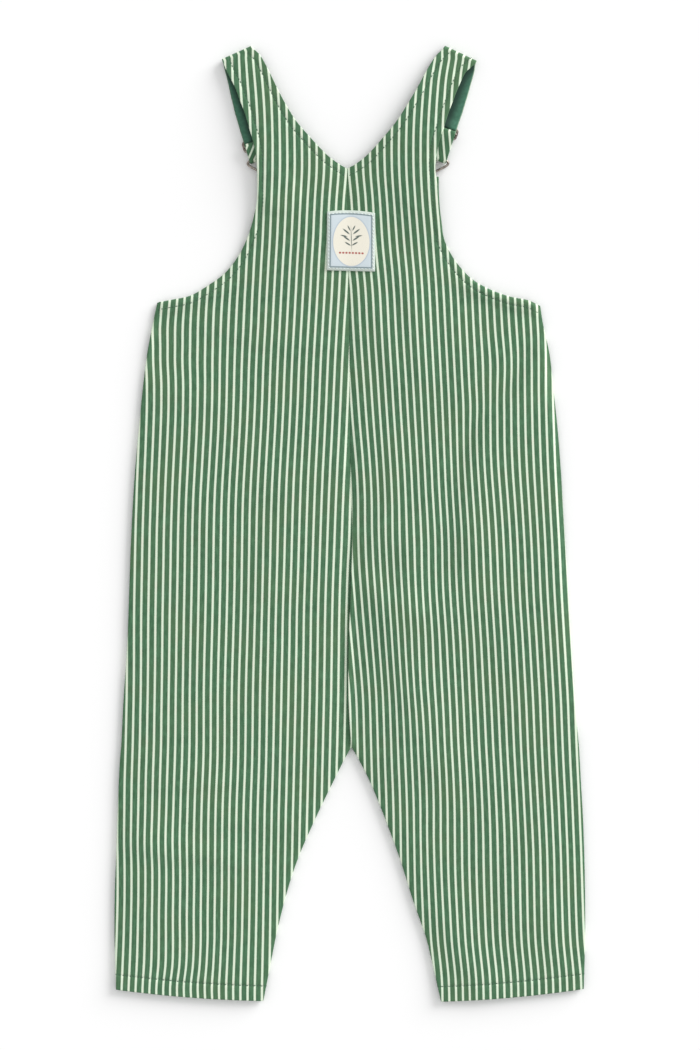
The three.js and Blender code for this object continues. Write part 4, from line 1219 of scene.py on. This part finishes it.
def stitch_tree(stitch, material):
    """Nodes that set a stitch at even steps along each line of a mesh's edges."""
    tree = bpy.data.node_groups.new("row_of_stitches", "GeometryNodeTree")
    tree.interface.new_socket("Lines", in_out="INPUT", socket_type="NodeSocketGeometry")
    pitch = tree.interface.new_socket("Pitch", in_out="INPUT", socket_type="NodeSocketFloat")
    pitch.default_value = STITCH_PITCH
    tree.interface.new_socket("Stitches", in_out="OUTPUT", socket_type="NodeSocketGeometry")
    nodes, links = tree.nodes, tree.links
    start, end = nodes.new("NodeGroupInput"), nodes.new("NodeGroupOutput")
    to_curve = nodes.new("GeometryNodeMeshToCurve")
    resample = nodes.new("GeometryNodeResampleCurve")
    resample.mode = "LENGTH"
    to_points = nodes.new("GeometryNodeInstanceOnPoints")
    shape = nodes.new("GeometryNodeObjectInfo")
    shape.inputs["Object"].default_value = stitch
    tangent = nodes.new("GeometryNodeInputTangent")
    align = nodes.new("FunctionNodeAlignRotationToVector")
    align.axis = "X"
    align.pivot_axis = "AUTO"
    realize = nodes.new("GeometryNodeRealizeInstances")
    set_material = nodes.new("GeometryNodeSetMaterial")
    set_material.inputs["Material"].default_value = material
    links.new(start.outputs["Lines"], to_curve.inputs["Mesh"])
    links.new(to_curve.outputs["Curve"], resample.inputs["Curve"])
    links.new(start.outputs["Pitch"], resample.inputs["Length"])
    links.new(resample.outputs["Curve"], to_points.inputs["Points"])
    links.new(shape.outputs["Geometry"], to_points.inputs["Instance"])
    links.new(tangent.outputs["Tangent"], align.inputs["Vector"])
    links.new(align.outputs["Rotation"], to_points.inputs["Rotation"])
    links.new(to_points.outputs["Instances"], realize.inputs["Geometry"])
    links.new(realize.outputs["Geometry"], set_material.inputs["Geometry"])
    links.new(set_material.outputs["Geometry"], end.inputs["Stitches"])
    return tree


def sewn(name, lines, stitch, material):
    """A piece made of all the stitches along some lines of points in millimetres."""
    points, edges = [], []
    for line in lines:
        first = len(points)
        points += [tuple(p * MM for p in point) for point in line]
        edges += [(i, i + 1) for i in range(first, len(points) - 1)]
    mesh = bpy.data.meshes.new(name)
    mesh.from_pydata(points, edges, [])
    piece = add_object(name, mesh)
    modifier = piece.modifiers.new("stitches", "NODES")
    modifier.node_group = stitch_tree(stitch, material)
    for item in modifier.node_group.interface.items_tree:
        if item.name == "Pitch":
            modifier[item.identifier] = STITCH_PITCH
    done = bpy.data.meshes.new_from_object(piece.evaluated_get(bpy.context.evaluated_depsgraph_get()))
    piece.modifiers.clear()
    piece.data = done
    done.name = name
    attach(piece, "root")
    return piece


stitch = stitch_shape("stitch", 1)
under_stitch = stitch_shape("under_stitch", -1)
STITCH_SINK = 0.02
for name in SIDES:
    lines = []
    for line in seam_lines(name).values():
        lines.append([(x, y, top_at(x, y) - STITCH_SINK) for x, y in line])
    sewn("stitching_" + name, lines, stitch, green_thread)
    side = SIDES[name]
    outer = sections(BIB, side, np.linspace(0.02, 1, 60))
    top = outer[-1]
    top_line = top[0:2] + (top[2:4] - top[0:2]) * np.linspace(0.03, 0.98, 30)[:, None] - (0, STITCH_IN)
    bib_edge = inside_line(outer[:, 0:2], (side * 40, 200), STITCH_IN)
    under = [seam_lines(name)["hem"], bib_edge[:-3], top_line]
    lines = [[(x, y, front_surface(x, y) - CLOTH / 2 + STITCH_SINK) for x, y in line] for line in under]
    sewn("stitching_front_" + name, lines, under_stitch, green_thread)
BORDER_IN = 0.075  # the label's stitching lies this share of the way in from its corners
BORDER_BOW = 0.9 * LABEL_BOW
BORDER_UP = 0.06
sewn_corners = LABEL_CORNERS + (LABEL_CORNERS.mean(axis=0) - LABEL_CORNERS) * BORDER_IN
border = []
for k in range(4):
    a, b = sewn_corners[k], sewn_corners[(k + 1) % 4]
    for share in np.linspace(0, 1, 20)[:-1]:
        x, y = a + (b - a) * share
        if k == 0:
            y += BORDER_BOW * 4 * share * (1 - share)
        border.append((x, y, top_at(x, y, 12) + GAP + LABEL_THICKNESS + BORDER_UP))
border.append(border[0])
sewn("stitching_label", [border], stitch, label_thread)

# Metal fittings
# Antique nickel: a wire buckle bent from one length of 1.8 mm wire, a stamped slide with a raised centre bar
# and a domed button with a shank. The buckle's bar holds the strap and its slot is hooked on the button.
NICKEL_DARK = (0.20, 0.17, 0.145, 1)
NICKEL_LIGHT = (0.50, 0.45, 0.40, 1)
metal_material, tree, shader = shader_of("nickel")
coordinates = tree.nodes.new("ShaderNodeTexCoord")
tarnish = add_noise(tree, coordinates.outputs["Object"], 420.0, 4.0)
scratches = add_noise(tree, coordinates.outputs["Object"], 2600.0, 2.0)
tree.links.new(
    add_mix(tree, add_ramp(tree, tarnish, 0.35, 0.7), NICKEL_DARK, NICKEL_LIGHT),
    shader.inputs["Base Color"],
)
tree.links.new(add_ramp(tree, scratches, 0.2, 0.8, 0.24, 0.42), shader.inputs["Roughness"])
shader.inputs["Metallic"].default_value = 1.0
bump = tree.nodes.new("ShaderNodeBump")
bump.inputs["Strength"].default_value = 0.12
bump.inputs["Distance"].default_value = 0.1 * MM
tree.links.new(scratches, bump.inputs["Height"])
tree.links.new(bump.outputs["Normal"], shader.inputs["Normal"])


def swept(points, outline, closed):
    """A bar with a given outline along a path that lies nearly flat: points and faces in millimetres."""
    points = np.asarray(points, float)
    if closed:
        step = np.roll(points, -1, axis=0) - np.roll(points, 1, axis=0)
    else:
        step = np.gradient(points, axis=0)
    step /= np.linalg.norm(step, axis=1, keepdims=True)
    up = np.broadcast_to((0.0, 0.0, 1.0), points.shape).copy()
    steep = np.abs(step[:, 2]) > 0.9
    up[steep] = (0.0, 1.0, 0.0)
    side = np.cross(step, up)
    side /= np.linalg.norm(side, axis=1, keepdims=True)
    up = np.cross(side, step)
    ring = [points + side * a + up * b for a, b in outline]
    verts = np.stack(ring, axis=1).reshape(-1, 3)
    n, m = len(points), len(outline)
    faces = []
    for i in range(n if closed else n - 1):
        j = (i + 1) % n
        for k in range(m):
            after = (k + 1) % m
            faces.append((i * m + k, i * m + after, j * m + after, j * m + k))
    if not closed:
        faces.append(tuple(range(m))[::-1])
        faces.append(tuple((n - 1) * m + k for k in range(m)))
    return verts, faces


def rounded(half_x, half_y, corner, turns):
    """A rectangle with rounded corners, as points at some turns round each corner in degrees."""
    outline = []
    for sx, sy, first in ((1, 1, 0), (-1, 1, 90), (-1, -1, 180), (1, -1, 270)):
        for turn in turns:
            angle = math.radians(first + turn)
            outline.append((
                sx * (half_x - corner) + corner * math.cos(angle),
                sy * (half_y - corner) + corner * math.sin(angle),
            ))
    return outline


def metal_piece(name, node, parts, hook_name, down):
    """Makes one piece of some parts, at a distance down from the bar of the buckle named by hook_name."""
    middle, along, across = hook_frame(hook_name)
    verts, faces = [], []
    for part_verts, part_faces in parts:
        faces += [tuple(i + len(verts) for i in face) for face in part_faces]
        verts += [tuple(v) for v in part_verts]
    verts = np.array(verts)
    flat = middle + np.outer(verts[:, 0], across) + np.outer(down - verts[:, 1], along)
    mesh = smooth_mesh(name, np.column_stack([flat, verts[:, 2]]), faces)
    mesh.materials.append(metal_material)
    piece = add_object(name, mesh)
    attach(piece, "root")
    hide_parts(node)
    return piece


def smooth_run(points, count, closed):
    """An even run of points on a smooth curve through some points."""
    points = np.asarray(points, float)
    if closed:
        wrapped = np.concatenate([points[-1:], points, points[:2]])
    else:
        wrapped = np.concatenate([points[:1], points, points[-1:]])
    fine = []
    for i in range(1, len(wrapped) - 2):
        p0, p1, p2, p3 = wrapped[i - 1 : i + 3]
        for t in np.linspace(0, 1, 24, endpoint=False):
            square = (2 * p0 - 5 * p1 + 4 * p2 - p3) * t**2
            cube = (3 * p1 - p0 - 3 * p2 + p3) * t**3
            fine.append(0.5 * (2 * p1 + (p2 - p0) * t + square + cube))
    fine.append(points[0] if closed else points[-1])
    fine = np.array(fine)
    length = np.concatenate([[0], np.cumsum(np.linalg.norm(np.diff(fine, axis=0), axis=1))])
    wanted = np.linspace(0, length[-1], count, endpoint=not closed)
    return np.stack([np.interp(wanted, length, fine[:, k]) for k in range(3)], axis=1)


SHANK_RADIUS = 3.0
SLOT_HALF = SHANK_RADIUS + GAP + WIRE_RADIUS
HEAD_TOP = BAR_Z + BUCKLE_RISE - WIRE_RADIUS - GAP
HALF_WIRE = (
    (7, 0),
    (12.4, 0),
    (14.5, 1.3),
    (13.7, 3.6),
    (9.6, 7.8),
    (5.6, 12),
    (SLOT_HALF, 16.5),
    (SLOT_HALF, 22),
    (SLOT_HALF, BUTTON_A),
    (SLOT_HALF * math.sqrt(0.5), BUTTON_A + SLOT_HALF * math.sqrt(0.5)),
)
loop = [(0, 0), *HALF_WIRE, (0, BUTTON_A + SLOT_HALF), *[(-v, a) for v, a in HALF_WIRE[::-1]]]
loop = [(v, -a, BAR_Z + BUCKLE_RISE * min(1, a / BUTTON_A)) for v, a in loop]
SLIDE_HEIGHT = 9
SLIDE_HALF_WIDTH = 14.7
SLIDE_SIDE = 1.8
SLIDE_CORNER = 1.6
SLIDE_EDGE = 0.35
half_x = SLIDE_HALF_WIDTH - SLIDE_SIDE / 2
half_y = (SLIDE_HEIGHT - SLIDE_SIDE) / 2
ring = [(x, y, SLIDE_THICKNESS / 2) for x, y in rounded(half_x, half_y, SLIDE_CORNER, range(0, 91, 15))]
rail_outline = rounded(SLIDE_SIDE / 2, SLIDE_THICKNESS / 2, SLIDE_EDGE, range(0, 91, 30))
posts = [
    (-half_x, 0, SLIDE_THICKNESS * 0.6),
    (-half_x, 0, 2.6),
    (-half_x, 0, SLIDE_BAR_Z - 0.9),
    (-half_x + 0.35, 0, SLIDE_BAR_Z - 0.2),
    (-half_x + 1.0, 0, SLIDE_BAR_Z),
]
bar_path = posts + [(0, 0, SLIDE_BAR_Z)] + [(-x, y, z) for x, y, z in posts[::-1]]
BUTTON_LOW = 0.15
# The button's outline, turned about its axis: distance from the axis and height.
BUTTON = (
    (3.0, 0.05),
    (5.2, 0.0),
    (6.6, 0.12),
    (7.6, 0.5),
    (8.0, 0.95),
    (7.9, 1.3),
    (7.3, HEAD_TOP),
    (3.2, HEAD_TOP),
    (SHANK_RADIUS, HEAD_TOP + 0.2),
    (SHANK_RADIUS, SHANK_TOP - 0.15),
    (2.8, SHANK_TOP),
)
rounds = [[(x, y, height) for x, y in circle(radius, 48)] for radius, height in BUTTON]
for name in SIDES:
    wire = swept(smooth_run(loop, 150, True), circle(WIRE_RADIUS), True)
    metal_piece("buckle_" + name + "_wire", "buckle_" + name, [wire], name, 0)
    rails = swept(ring, rail_outline, True)
    raised = swept(smooth_run(bar_path, 70, False), circle(SLIDE_BAR_RADIUS), False)
    metal_piece("slide_" + name + "_frame", "slide_" + name, [rails, raised], name, -HOOKS[name]["slide"])
    stud = closed_rings((0, 0, BUTTON_LOW), rounds, (0, 0, SHANK_TOP))
    metal_piece("button_" + name + "_stud", "button_" + name, [stud], name, BUTTON_A)
